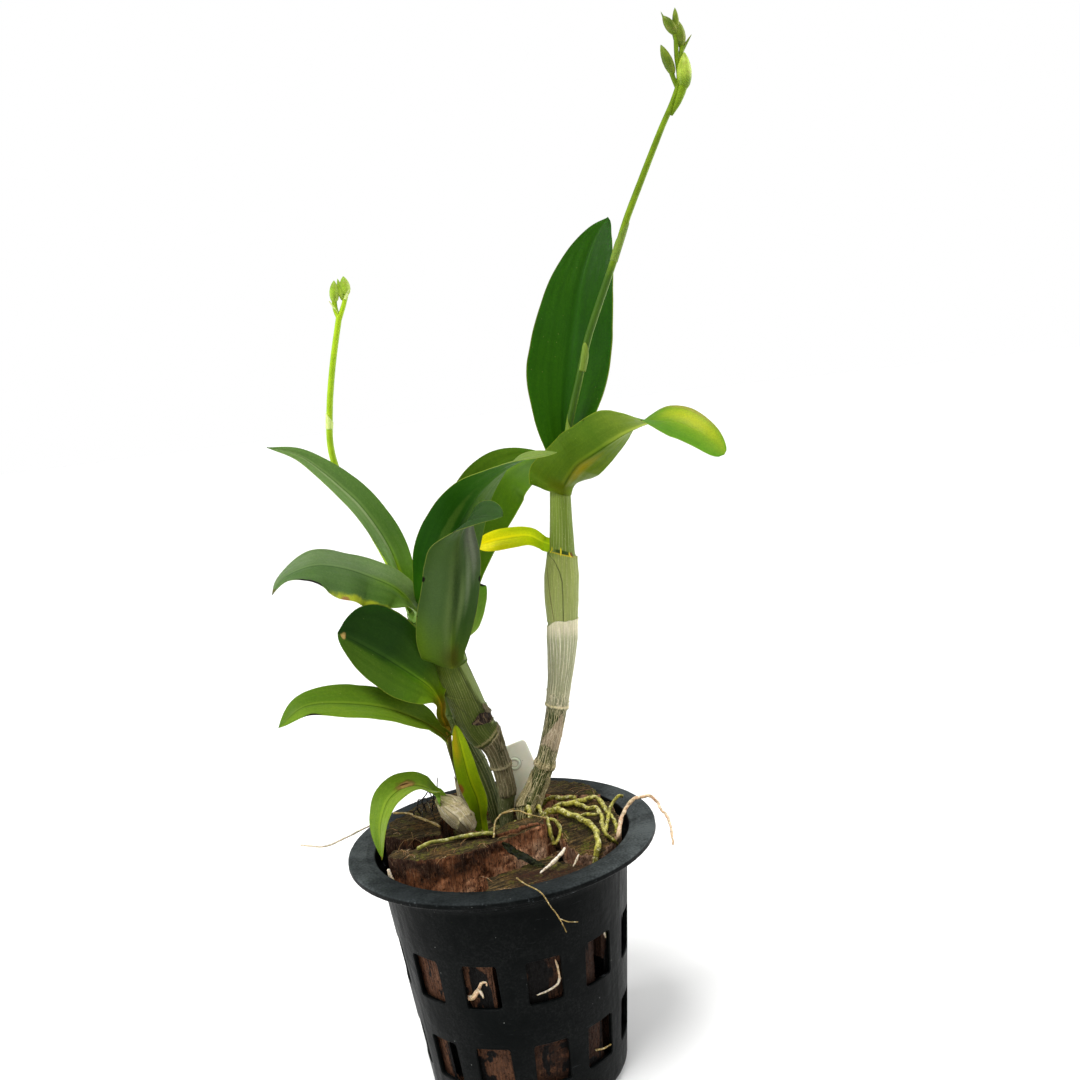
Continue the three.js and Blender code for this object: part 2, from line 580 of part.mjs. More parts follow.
const LOOSE_ROOTS = {
  root_on_front_husk: {
    paths: [[[
      [-24.5, -18.5, 85.5], [-21.5, -16, 85.8], [-18, -15, 85.6], [-12.5, -13.5, 85.6], [-8.5, -13.5, 85.8],
      [-2, -13.5, 85.6],
    ], [0.6, 0.7]]],
    finish: 'root',
  },
  root_wiry: {
    paths: [
      [[
        [4.3, 8.4, 84], [2.5, 4, 85.3], [0.5, 0, 86], [-1, -6, 86.4], [-1.3, -12, 86.7], [-1.5, -18, 86],
      ], [0.4, 0.4]],
      [[[0.8, 1, 85.8], [5.5, 1, 86.2], [10, -3.5, 86], [15, -6.5, 85.5]], [0.4, 0.4]],
    ],
    finish: 'root',
  },
  root_on_left_husk: {
    paths: [[[[-36, 16.5, 84.5], [-31, 14.5, 84.5], [-27, 10, 84.3], [-24, 6.5, 84.3], [-21.5, 3.5, 84.3],
      [-19.5, 1, 84]], [0.5, 0.7]]],
    finish: 'root',
  },
  root_thread: {
    paths: [[[
      [-64, -0.5, 84], [-56, -2, 83.2], [-50, 3, 83.4], [-43, 10.5, 83.5], [-38, 14.5, 83.4],
    ], [0.35, 0.35]]],
    finish: 'rootTip',
    steps: 7,
  },
  root_over_front_rim: {
    paths: [
      [[[5, -30, 77.5], [5, -36.5, 80.5], [6.5, -41, 81.3], [9, -45, 81.4], [12, -49, 81], [13.8, -50.3, 78],
        [16.3, -49.8, 73], [17.5, -49.5, 69]], [0.4, 0.4]],
      [[[16.2, -49.8, 73.2], [18.5, -49.6, 72], [21, -49.4, 71.5]], [0.4, 0.35]],
    ],
    finish: 'rootTip',
  },
  root_tip_front: {
    paths: [[[[19.5, -16.5, 79.3], [18.5, -18.5, 78.8], [15, -23, 77.6], [11.5, -27, 77]], [0.7, 0.9]]],
    finish: 'rootTip',
    steps: 5,
  },
  root_tip_right: {
    paths: [[[[23.5, -20.5, 78.5], [22.5, -21.8, 77.3], [21.5, -23, 76.2]], [0.5, 0.6]]],
    finish: 'rootTip',
    steps: 3,
  },
  root_tip_left: {
    paths: [[[[-34.1, -19.9, 80.5], [-33.8, -20.1, 79], [-33.2, -20.3, 76.8]], [0.5, 0.7]]],
    finish: 'rootTip',
    steps: 3,
  },
};

const rootSet = (paths, extra = 0, steps) => fuse(paths.map(([points, [start, end]]) => (
  tube(stretched(points, extra), [start + extra, end + extra], 5, steps ?? points.length)
)));

// ---- Coconut husk ----

// outline is the chunk seen from above, level its underside and top, and slope
// how much the top rises per millimetre towards +X and +Y.
const HUSK_CHUNKS = {
  husk_front: {
    outline: [
      [-34, -17.5], [-29.5, -20.5], [-24.5, -22.5], [-15.5, -23.5], [-8.5, -21], [-1, -17], [6.5, -12.5],
      [13.5, -8], [14.5, -2], [9, -1], [2.5, -3], [-1.5, -8.5], [-9, -9.5], [-15.5, -11], [-22.5, -12.5],
      [-33, -13.8],
    ],
    level: [62, 84.4],
    slope: [0.01, 0.02],
  },
  husk_front_left: {
    outline: [[-7, -24], [-16, -26.5], [-25, -25.5], [-33, -22], [-30, -30], [-18, -38], [-6, -41]],
    level: [61, 70],
  },
  husk_front_right: {
    outline: [
      [-5, -22], [1, -19.5], [8, -15], [16, -11], [17, -17], [25, -21.5], [31, -21], [26, -31], [12, -39],
      [-4, -40],
    ],
    level: [61, 75.4],
  },
  husk_left: {
    outline: [[-38, 1.5], [-37, 13], [-30, 21], [-22, 22], [-18.5, 16], [-20, 6], [-19, -3], [-28, -5]],
    level: [61, 83],
  },
  husk_right: {
    outline: [
      [18.5, -2], [20, -10], [24, -16.5], [30, -18], [35, -11], [38, 0], [36, 11], [27, 15], [18.5, 10],
    ],
    level: [61, 79.8],
    slope: [0, 0.2],
  },
  husk_back: {
    outline: [[16, 21.5], [24, 19], [33, 17], [30, 27], [20, 35], [9, 39], [10.5, 29]],
    level: [61, 82.5],
  },
  husk_back_left: {
    outline: [
      [-33, 22.5], [-22, 24.5], [-18.5, 30], [-12, 32.5], [-5, 31.5], [5, 29], [6, 39], [-12, 40], [-28, 30],
    ],
    level: [61, 82],
  },
  husk_centre: {
    outline: [
      [-16, -5], [-9, -7], [-3, -6], [1, -0.5], [14, 1.5], [16, 6], [15, 18], [7, 25], [-5, 29], [-14, 30],
      [-17.5, 22], [-16.5, 12], [-18, 4],
    ],
    level: [61, 75.4],
  },
};

// Wedges round the middle of the pot, each from one angle to the next.
const HUSK_WEDGES = [
  { name: 'husk_low', layer: 0, angles: [-40, 55, 150, 235] },
  { name: 'husk_mid', layer: 1, angles: [-88, -6, 48, 131, 215] },
];

// More points along an outline, so that none lie further apart than the step.
function refine(outline, step) {
  return outline.flatMap(([x0, y0], i) => {
    const [x1, y1] = outline[(i + 1) % outline.length];
    const parts = Math.ceil(Math.hypot(x1 - x0, y1 - y0) / step);
    return Array.from({ length: parts }, (_, k) => [lerp(x0, x1, k / parts), lerp(y0, y1, k / parts)]);
  });
}

function huskChunk({ outline, level: [bottom, top], slope = [0, 0] }, seed) {
  const random = seededRandom(seed);
  const corners = refine(outline, HUSK_EDGE_STEP).map(([x, y]) => new THREE.Vector2(x, y));
  const block = { depth: top - bottom, steps: 2, bevelEnabled: false };
  const geometry = weld(new THREE.ExtrudeGeometry(new THREE.Shape(corners), block));
  const position = geometry.attributes.position;
  for (let i = 0; i < position.count; i += 1) {
    const height = position.getZ(i) / (top - bottom);
    const x = position.getX(i);
    const y = position.getY(i);
    const rise = height * (slope[0] * x + slope[1] * y);
    position.setXYZ(
      i,
      x + (random() - 0.5) * 2 * HUSK_ROUGHNESS,
      y + (random() - 0.5) * 2 * HUSK_ROUGHNESS,
      bottom + position.getZ(i) + rise + height * (random() - 0.5) * HUSK_ROUGHNESS,
    );
  }
  return solid(geometry).intersect(potInside);
}

function huskWedge(from, to, level, seed) {
  const reach = WALL_TOP_RADIUS + WINDOW_REACH;
  const rimPoints = 5;
  const spreadAngle = degToRad(to - from);
  const start = degToRad(from) + WEDGE.gap / reach;
  const rim = Array.from({ length: rimPoints + 1 }, (_, i) => {
    const angle = start + (spreadAngle - (2 * WEDGE.gap) / reach) * (i / rimPoints);
    return [Math.sin(angle) * reach, -Math.cos(angle) * reach];
  });
  const centreAngle = degToRad((from + to) / 2);
  const inner = [Math.sin(centreAngle) * WEDGE.tip, -Math.cos(centreAngle) * WEDGE.tip];
  return huskChunk({ outline: [inner, ...rim], level }, seed);
}

// ---- Plant label ----

function plantLabel(extra = 0) {
  const { width, height, thickness, corner } = LABEL;
  const half = width / 2 + extra;
  const shape = new THREE.Shape();
  const shoulder = height * 0.3;
  shape.moveTo(0, -extra);
  shape.lineTo(half, shoulder);
  shape.lineTo(half, height - corner);
  shape.lineTo(half - corner, height);
  shape.lineTo(-half + corner, height);
  shape.lineTo(-half, height - corner);
  shape.lineTo(-half, shoulder);
  const geometry = new THREE.ExtrudeGeometry(shape, { depth: thickness + 2 * extra, bevelEnabled: false });
  geometry.translate(0, 0, -thickness / 2 - extra);
  geometry.rotateX(Math.PI / 2);
  geometry.rotateY(degToRad(-LABEL.lean));
  geometry.translate(...LABEL.foot);
  return solid(geometry);
}

// ---- The whole plant ----

const orchid = new THREE.Group();

function addPiece(name, piece, finish) {
  const { color, roughness } = FINISHES[finish];
  const material = new THREE.MeshStandardMaterial({ color, roughness, metalness: 0 });
  const mesh = new THREE.Mesh(geometryOf(largest(piece)), material);
  mesh.name = name;
  orchid.add(mesh);
}

const caneClearances = Object.values(CANES).map((stem) => cane(stem, CLEARANCE));
const rhizomeClearance = rhizome(CLEARANCE);
const thickRoots = (extra = 0) => rootSet(THICK_ROOTS, extra);
const labelClearance = plantLabel(CLEARANCE);

addPiece('pot', netPot(), 'pot');

for (const [name, stem] of Object.entries(CANES)) {
  addPiece(name, cut(cane(stem), [rhizomeClearance]), stem.finish);
}

for (const [name, leaf] of Object.entries(LEAVES)) {
  addPiece(name, cut(blade(leaf), caneClearances), leaf.finish ?? 'leaf');
}

addPiece('spike_tall', cut(spikeTall(), caneClearances), 'spike');
addPiece('spike_left', cut(spikeLeft(), caneClearances), 'spike');
addPiece('rhizome_roots', cut(fuse([rhizome(), thickRoots()]), caneClearances), 'root');
for (const [name, { paths, finish, steps }] of Object.entries(LOOSE_ROOTS)) {
  addPiece(name, cut(rootSet(paths, 0, steps), caneClearances), finish);
}
addPiece('plant_label', plantLabel(), 'label');

const buried = [...caneClearances, rhizomeClearance, thickRoots(CLEARANCE), labelClearance];
let seed = 7;
for (const { name, layer, angles } of HUSK_WEDGES) {
  angles.forEach((from, i) => {
    const to = i + 1 < angles.length ? angles[i + 1] : angles[0] + 360;
    seed += 1;
    addPiece(`${name}_${i + 1}`, huskWedge(from, to, HUSK_LAYERS[layer], seed), 'husk');
  });
}
for (const [name, chunk] of Object.entries(HUSK_CHUNKS)) {
  seed += 1;
  addPiece(name, cut(huskChunk(chunk, seed), buried), 'husk');
}

export default orchid;
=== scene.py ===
"""A young dendrobium orchid in a net pot of coconut husk: its looks.

Tables are in millimetres and repeat the solids' own numbers, so that every
piece lies where its solid lies. Meshes are written in metres.
"""
import math

import bmesh
import bpy
import numpy as np
from mathutils import Matrix, Vector


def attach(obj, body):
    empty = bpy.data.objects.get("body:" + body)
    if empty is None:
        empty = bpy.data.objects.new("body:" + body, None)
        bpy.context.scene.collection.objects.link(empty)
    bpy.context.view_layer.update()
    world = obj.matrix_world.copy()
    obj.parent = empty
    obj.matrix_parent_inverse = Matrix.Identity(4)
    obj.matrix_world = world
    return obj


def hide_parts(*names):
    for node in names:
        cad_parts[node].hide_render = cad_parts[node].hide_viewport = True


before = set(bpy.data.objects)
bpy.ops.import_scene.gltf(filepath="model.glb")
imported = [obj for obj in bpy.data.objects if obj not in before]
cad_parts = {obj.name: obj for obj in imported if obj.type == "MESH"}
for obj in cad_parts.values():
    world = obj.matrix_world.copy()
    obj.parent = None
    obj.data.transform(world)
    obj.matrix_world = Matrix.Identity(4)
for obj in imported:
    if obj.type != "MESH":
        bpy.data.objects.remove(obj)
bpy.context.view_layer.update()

MM = 0.001
TAU = 2 * math.pi

# ---- Camera and light ----

FOCAL = 1150.0  # in pixels of a 1080 pixel frame
FRAME = 1080.0
DISTANCE = 367.0
PITCH, ROLL = math.radians(8), math.radians(-6.8)
RIM_CENTRE = np.array([0.0, 0.0, 80.0])
RIM_PIXEL = (501.9, 832.5)


def make_camera():
    """The photo's view: the pot's rim is where the photo has it."""
    forward = np.array([0, math.cos(PITCH), -math.sin(PITCH)])
    level_up = np.array([0, math.sin(PITCH), math.cos(PITCH)])
    level_right = np.array([1.0, 0, 0])
    right = level_right * math.cos(ROLL) + level_up * math.sin(ROLL)
    up = -level_right * math.sin(ROLL) + level_up * math.cos(ROLL)
    aside = (RIM_PIXEL[0] - FRAME / 2) / FOCAL
    below = (RIM_PIXEL[1] - FRAME / 2) / FOCAL
    place = RIM_CENTRE - DISTANCE * (forward + right * aside - up * below)
    data = bpy.data.cameras.new("camera")
    data.sensor_width = 36
    data.lens = 36 * FOCAL / FRAME
    data.clip_start, data.clip_end = 0.01, 50
    camera = bpy.data.objects.new("camera", data)
    turn = Matrix([list(right), list(up), list(-forward)]).transposed()
    camera.matrix_world = Matrix.Translation(Vector(place * MM)) @ turn.to_4x4()
    bpy.context.scene.collection.objects.link(camera)
    bpy.context.scene.camera = camera


make_camera()

# ---- Numbers ----


def rounded(x):
    return x * x * (3 - 2 * x)


def ease(x, low, high):
    """0 below low, 1 above high, and smooth between."""
    return rounded(np.clip((x - low) / (high - low), 0, 1))


def lattice(ix, iy, iz, seed):
    """A number from 0 to 1 for each cell."""
    mixed = (ix * 73856093) ^ (iy * 19349663) ^ (iz * 83492791) ^ (seed * 2654435761)
    mixed &= 0xFFFFFFFF
    mixed = ((mixed ^ (mixed >> 13)) * 1274126177) & 0xFFFFFFFF
    return (mixed ^ (mixed >> 16)) / 4294967296.0


def noise(points, scale, seed=0, octaves=1):
    """Smooth noise from -1 to 1 at the points; scale is features a millimetre, one or three numbers."""
    total, weight, size = 0, 0, 1.0
    points = np.asarray(points, float) * scale
    for octave in range(octaves):
        cell = np.floor(points).astype(np.int64)
        part = rounded(points - cell)
        x, y, z = (cell[..., k] for k in range(3))
        value = 0
        for corner in range(8):
            dx, dy, dz = corner & 1, (corner >> 1) & 1, corner >> 2
            share = (
                (part[..., 0] if dx else 1 - part[..., 0])
                * (part[..., 1] if dy else 1 - part[..., 1])
                * (part[..., 2] if dz else 1 - part[..., 2])
            )
            value = value + share * lattice(x + dx, y + dy, z + dz, seed + octave)
        total = total + size * (2 * value - 1)
        weight += size
        size *= 0.5
        points = points * 2.03
    return total / weight


def noise2(a, b, seed=0, octaves=1):
    a, b = np.broadcast_arrays(a, b)
    return noise(np.stack([a, b, np.zeros_like(a)], -1), 1.0, seed, octaves)


def around(angle, scale, seed, octaves):
    """Noise that closes on itself round a circle."""
    return noise2(np.cos(angle) * scale, np.sin(angle) * scale, seed, octaves)


def spread(values, u):
    """The value at u of a list spread evenly from 0 to 1; the values may be points."""
    values = np.asarray(values, float)
    places = np.linspace(0, 1, len(values))
    if values.ndim == 1:
        return np.interp(u, places, values)
    return np.stack([np.interp(u, places, column) for column in values.T], -1)


def unit(vectors):
    return vectors / np.linalg.norm(vectors, axis=-1, keepdims=True)


class Path:
    """The smooth curve through points, read by the share of its length."""

    STEPS = 24  # from one point to the next

    def __init__(self, points):
        p = np.asarray(points, float)
        p = np.vstack([2 * p[0] - p[1], p, 2 * p[-1] - p[-2]])
        t = np.linspace(0, 1, self.STEPS, endpoint=False)[:, None]
        parts = []
        for p0, p1, p2, p3 in zip(p, p[1:], p[2:], p[3:]):
            d0, d1, d2 = (math.sqrt(np.linalg.norm(b - a)) for a, b in ((p0, p1), (p1, p2), (p2, p3)))
            m1 = ((p1 - p0) / d0 - (p2 - p0) / (d0 + d1) + (p2 - p1) / d1) * d1
            m2 = ((p2 - p1) / d1 - (p3 - p1) / (d1 + d2) + (p3 - p2) / d2) * d1
            parts.append(p1 + m1 * t
                         + (3 * (p2 - p1) - 2 * m1 - m2) * t**2 + (2 * (p1 - p2) + m1 + m2) * t**3)
        self.points = np.vstack([*parts, p[-2:-1]])
        steps = np.linalg.norm(np.diff(self.points, axis=0), axis=1)
        self.reach = np.concatenate([[0], np.cumsum(steps)])
        self.length = self.reach[-1]

    def at(self, u):
        return np.stack([np.interp(u * self.length, self.reach, c) for c in self.points.T], -1)

    def along(self, u):
        return unit(self.at(np.minimum(u + 0.004, 1)) - self.at(np.maximum(u - 0.004, 0)))


def carried(along):
    """A side and an up for every step of a curve, carried along it without twist."""
    side = np.cross(along[0], (0, 0, 1) if abs(along[0][2]) < 0.8 else (1, 0, 0))
    sides = []
    for way in along:
        side = side - way * side.dot(way)
        side = side / np.linalg.norm(side)
        sides.append(side)
    sides = np.array(sides)
    return sides, np.cross(along, sides)


def circles(side, up, angles):
    """The ways out from a curve's steps at angles round it."""
    return side[:, None] * np.cos(angles)[None, :, None] + up[:, None] * np.sin(angles)[None, :, None]


# ---- Meshes ----


class Shape:
    """Collects grids and fans of points into one mesh with UV maps and several materials."""

    def __init__(self):
        self.points, self.faces, self.uvs, self.paints, self.count = [], [], [], [], 0

    def grid(self, points, u=0.0, v=0.0, paint=0, wrap=False, flip=False):
        rows, columns = points.shape[:2]
        ids = self.count + np.arange(rows * columns).reshape(rows, columns)
        self.points.append(points.reshape(-1, 3))
        self.count += rows * columns
        if wrap:
            ids = np.hstack([ids, ids[:, :1]])
        place = np.stack(np.broadcast_arrays(u, v, np.zeros(ids.shape))[:2], -1)
        corners = [(slice(None, -1), slice(None, -1)), (slice(None, -1), slice(1, None)),
                   (slice(1, None), slice(1, None)), (slice(1, None), slice(None, -1))]
        if flip:
            corners.reverse()
        quads = np.stack([ids[c] for c in corners], -1).reshape(-1, 4)
        self.faces.extend(quads.tolist())
        self.uvs.append(np.stack([place[c] for c in corners], -2).reshape(-1, 2))
        self.paints.append(np.broadcast_to(paint, len(quads)) if np.ndim(paint) == 0 else np.ravel(paint))
        return ids

    def face(self, ids, uv=(0.0, 0.0), paint=0):
        self.faces.append([int(i) for i in ids])
        self.uvs.append(np.tile(uv, (len(ids), 1)))
        self.paints.append(np.array([paint]))

    def seam(self, pairs, uv=(0.0, 0.0), paint=0):
        """Quads between each pair of rows of points; uv is one place, or a function of pair and step."""
        for pair_index, (first, second) in enumerate(pairs):
            for i in range(len(first) - 1):
                place = uv(pair_index, i) if callable(uv) else uv
                self.face((first[i + 1], first[i], second[i], second[i + 1]), place, paint)

    def tube(self, centres, radii, sides=12, paint=0, relief=None):
        """A closed tube. radii is one number a step, relief adds to it at each step and angle."""
        side, up = carried(unit(np.gradient(centres, axis=0)))
        angles = np.arange(sides) / sides * TAU
        reach = np.concatenate([[0], np.cumsum(np.linalg.norm(np.diff(centres, axis=0), axis=1))])
        radius = np.broadcast_to(np.asarray(radii, float)[:, None], (len(centres), sides)).copy()
        if relief is not None:
            radius += relief(reach[:, None], angles[None, :])
        points = centres[:, None] + circles(side, up, angles) * radius[..., None]
        places = np.arange(sides + 1)[None, :] / sides
        ids = self.grid(points, reach[:, None] / 100, places, paint, wrap=True)
        self.face(ids[0, :-1][::-1], (0.0, 0.5), paint)
        self.face(ids[-1, :-1], (reach[-1] / 100, 0.5), paint)

    def mesh(self, name, materials, sharp=None):
        mesh = bpy.data.meshes.new(name)
        mesh.from_pydata((np.vstack(self.points) * MM).tolist(), [], self.faces)
        layer = mesh.uv_layers.new(name="Place")
        layer.data.foreach_set("uv", np.vstack(self.uvs).astype(np.float32).ravel())
        mesh.polygons.foreach_set("material_index", np.concatenate(self.paints).astype(np.int32))
        for material in materials:
            mesh.materials.append(material)
        mesh.update()
        mesh.shade_smooth()
        if sharp:
            mesh.set_sharp_from_angle(angle=math.radians(sharp))
        return mesh

    def piece(self, name, materials, slot, nodes=()):
        add_piece(name, self.mesh(name, materials), nodes)


def add_piece(name, mesh, nodes=()):
    """A visible piece that stands for these nodes of the frame, or stands beside them."""
    piece = bpy.data.objects.new(name, mesh)
    bpy.context.scene.collection.objects.link(piece)
    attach(piece, "root")
    if nodes:
        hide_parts(*nodes)


def margins(top, bottom):
    """The four pairs of rows that close a sheet between its two skins."""
    return ((top[:, 0], bottom[:, 0]), (bottom[:, -1], top[:, -1]), (bottom[0], top[0]),
            (top[-1], bottom[-1]))


def dome(centres, radii):
    """A tube's centres and radii with round ends, 0.6 of a radius deep."""
    turn = np.linspace(0, 1, 6)[:-1] * math.pi / 2
    deep, wide = 0.6 * np.cos(turn), np.maximum(np.sin(turn), 0.02)
    head = centres[0] + unit(centres[0] - centres[1]) * (radii[0] * deep)[:, None]
    tail = centres[-1] + unit(centres[-1] - centres[-2]) * (radii[-1] * deep[::-1])[:, None]
    return np.vstack([head, centres, tail]), np.concatenate([radii[0] * wide, radii, radii[-1] * wide[::-1]])


# ---- Materials ----

WAXY = 1.42  # the refraction of a plant's skin


def tone(colour):
    """Three numbers from 0 to 255 as the four linear ones of a socket; anything else stays as it is."""
    def linear(value):
        value /= 255
        return value / 12.92 if value <= 0.04045 else ((value + 0.055) / 1.055) ** 2.4

    if isinstance(colour, tuple) and len(colour) == 3:
        return (*map(linear, colour), 1.0)
    return colour


def grey(value):
    return (value, value, value, 1)


class Look:
    """One material; each method adds nodes and gives the socket that carries the result."""

    def __init__(self, name):
        self.material = bpy.data.materials.new(name)
        self.material.use_nodes = True
        self.tree = self.material.node_tree
        self.tree.nodes.clear()
        where = self.tree.nodes.new("ShaderNodeTexCoord").outputs["Object"]
        self.where = self.vector("SCALE", where, scale=1 / MM)
        self.x, self.y, self.z = self.parts(self.where)
        place = self.tree.nodes.new("ShaderNodeUVMap")
        place.uv_map = "Place"
        self.u, self.v, _ = self.parts(place.outputs[0])

    def node(self, kind, *inputs, out=0, **settings):
        made = self.tree.nodes.new("ShaderNode" + kind)
        for key, value in settings.items():
            setattr(made, key, value)
        for socket, value in zip(made.inputs, inputs):
            self.feed(socket, value)
        return made.outputs[out]

    def feed(self, socket, value):
        if isinstance(value, bpy.types.NodeSocket):
            self.tree.links.new(value, socket)
        elif value is not None:
            socket.default_value = value

    def vector(self, operation, a, b=None, scale=None):
        made = self.tree.nodes.new("ShaderNodeVectorMath")
        made.operation = operation
        self.feed(made.inputs[0], a)
        self.feed(made.inputs[1], b)
        if scale is not None:
            self.feed(made.inputs["Scale"], scale)
        return made.outputs[0]

    def parts(self, vector):
        made = self.tree.nodes.new("ShaderNodeSeparateXYZ")
        self.feed(made.inputs[0], vector)
        return made.outputs

    def outward(self):
        """The x, y and z of the way that the surface faces."""
        return self.parts(self.node("NewGeometry", out=1))

    def join(self, x, y, z=0.0):
        return self.node("CombineXYZ", x, y, z)

    def math(self, operation, a, b=None, c=None):
        return self.node("Math", a, b, c, operation=operation)

    def add(self, a, b):
        return self.math("ADD", a, b)

    def less(self, a, b):
        return self.math("SUBTRACT", a, b)

    def times(self, *values):
        total = values[0]
        for value in values[1:]:
            total = self.math("MULTIPLY", total, value)
        return total

    def sway(self, value, share):
        """A noise drawn round 0 and made as strong as share."""
        return self.times(self.less(value, 0.5), share)

    def away(self, a, b):
        """How far (a, b) lies from (0, 0)."""
        return self.math("SQRT", self.add(self.times(a, a), self.times(b, b)))

    def size(self, value):
        return self.math("ABSOLUTE", value)

    def most(self, a, b):
        return self.math("MAXIMUM", a, b)

    def ease(self, value, low, high, bottom=0.0, top=1.0):
        return self.node("MapRange", value, low, high, bottom, top, interpolation_type="SMOOTHSTEP")

    def band(self, value, low, high, soft):
        """1 between low and high."""
        return self.times(self.ease(value, low - soft, low + soft),
                          self.ease(value, high - soft, high + soft, 1.0, 0.0))

    def mix(self, share, a, b, blend="MIX"):
        """Between two colours: sockets, three numbers from 0 to 255 or four linear ones."""
        made = self.tree.nodes.new("ShaderNodeMix")
        made.data_type = "RGBA"
        made.blend_type = blend
        for place, value in ((0, share), (6, tone(a)), (7, tone(b))):
            self.feed(made.inputs[place], value)
        return made.outputs[2]

    def tint(self, colour, red, green, blue):
        return self.mix(1.0, colour, (red, green, blue, 1), "MULTIPLY")

    def blend(self, share, a, b):
        """Between two plain numbers."""
        return self.node("Mix", share, None, a, b)

    def noise(self, vector, scale, detail=2.0, rough=0.5, bend=0.0):
        """Noise from 0 to 1; scale is one number, or three where the noise is stretched."""
        if isinstance(scale, tuple):
            vector, scale = self.vector("MULTIPLY", vector, scale), 1.0
        made = self.tree.nodes.new("ShaderNodeTexNoise")
        for name, value in (("Vector", vector), ("Scale", scale), ("Detail", detail), ("Roughness", rough),
                            ("Distortion", bend)):
            self.feed(made.inputs[name], value)
        return made.outputs[0]

    def cells(self, vector, scale, feature="F1"):
        made = self.tree.nodes.new("ShaderNodeTexVoronoi")
        made.feature = feature
        self.feed(made.inputs["Vector"], vector)
        self.feed(made.inputs["Scale"], scale)
        return made.outputs[0]

    def specks(self, vector, scale, low, high):
        """1 in small dots of radii low to high, in shares of a cell."""
        return self.ease(self.cells(vector, scale), low, high, 1.0, 0.0)

    def ramp(self, value, *stops):
        """A colour that runs through the stops of (place, colour)."""
        made = self.tree.nodes.new("ShaderNodeValToRGB")
        self.feed(made.inputs[0], value)
        elements = made.color_ramp.elements
        while len(elements) < len(stops):
            elements.new(0.5)
        for element, (place, colour) in zip(elements, stops):
            element.position, element.color = place, tone(colour)
        return made.outputs[0]

    def spot(self, a, b, a0, b0, ra, rb, soft=0.25, ragged=0.0, grain=0.6):
        """1 inside an ellipse of radii ra and rb round (a0, b0), with a ragged edge."""
        da = self.math("DIVIDE", self.less(a, a0), ra)
        db = self.math("DIVIDE", self.less(b, b0), rb)
        away = self.away(da, db)
        if ragged:
            away = self.add(away, self.sway(self.noise(self.where, grain, 3), ragged))
        return self.ease(away, 1 - soft, 1 + soft, 1.0, 0.0)

    def bump(self, height, depth, normal=None):
        """height 0 to 1 stands for depth millimetres."""
        made = self.tree.nodes.new("ShaderNodeBump")
        made.inputs["Strength"].default_value = 1.0
        made.inputs["Distance"].default_value = depth * MM
        self.feed(made.inputs["Height"], height)
        self.feed(made.inputs["Normal"], normal)
        return made.outputs[0]

    def finish(self, colour, rough, normal, shine=0.5, glow=0.0, depths=(1.0, 0.2, 0.1), bend=1.5):
        """glow is the share of light that comes back out from below, depths how far each colour goes."""
        shader = self.tree.nodes.new("ShaderNodeBsdfPrincipled")
        for name, value in (("Base Color", colour), ("Roughness", rough), ("Normal", normal), ("IOR", bend),
                            ("Specular IOR Level", shine), ("Subsurface Weight", glow),
                            ("Subsurface Radius", depths)):
            self.feed(shader.inputs[name], value)
        if glow:
            shader.inputs["Subsurface Scale"].default_value = MM
        output = self.tree.nodes.new("ShaderNodeOutputMaterial")
        self.tree.links.new(shader.outputs[0], output.inputs[0])
        return self.material


# ---- Leaves ----

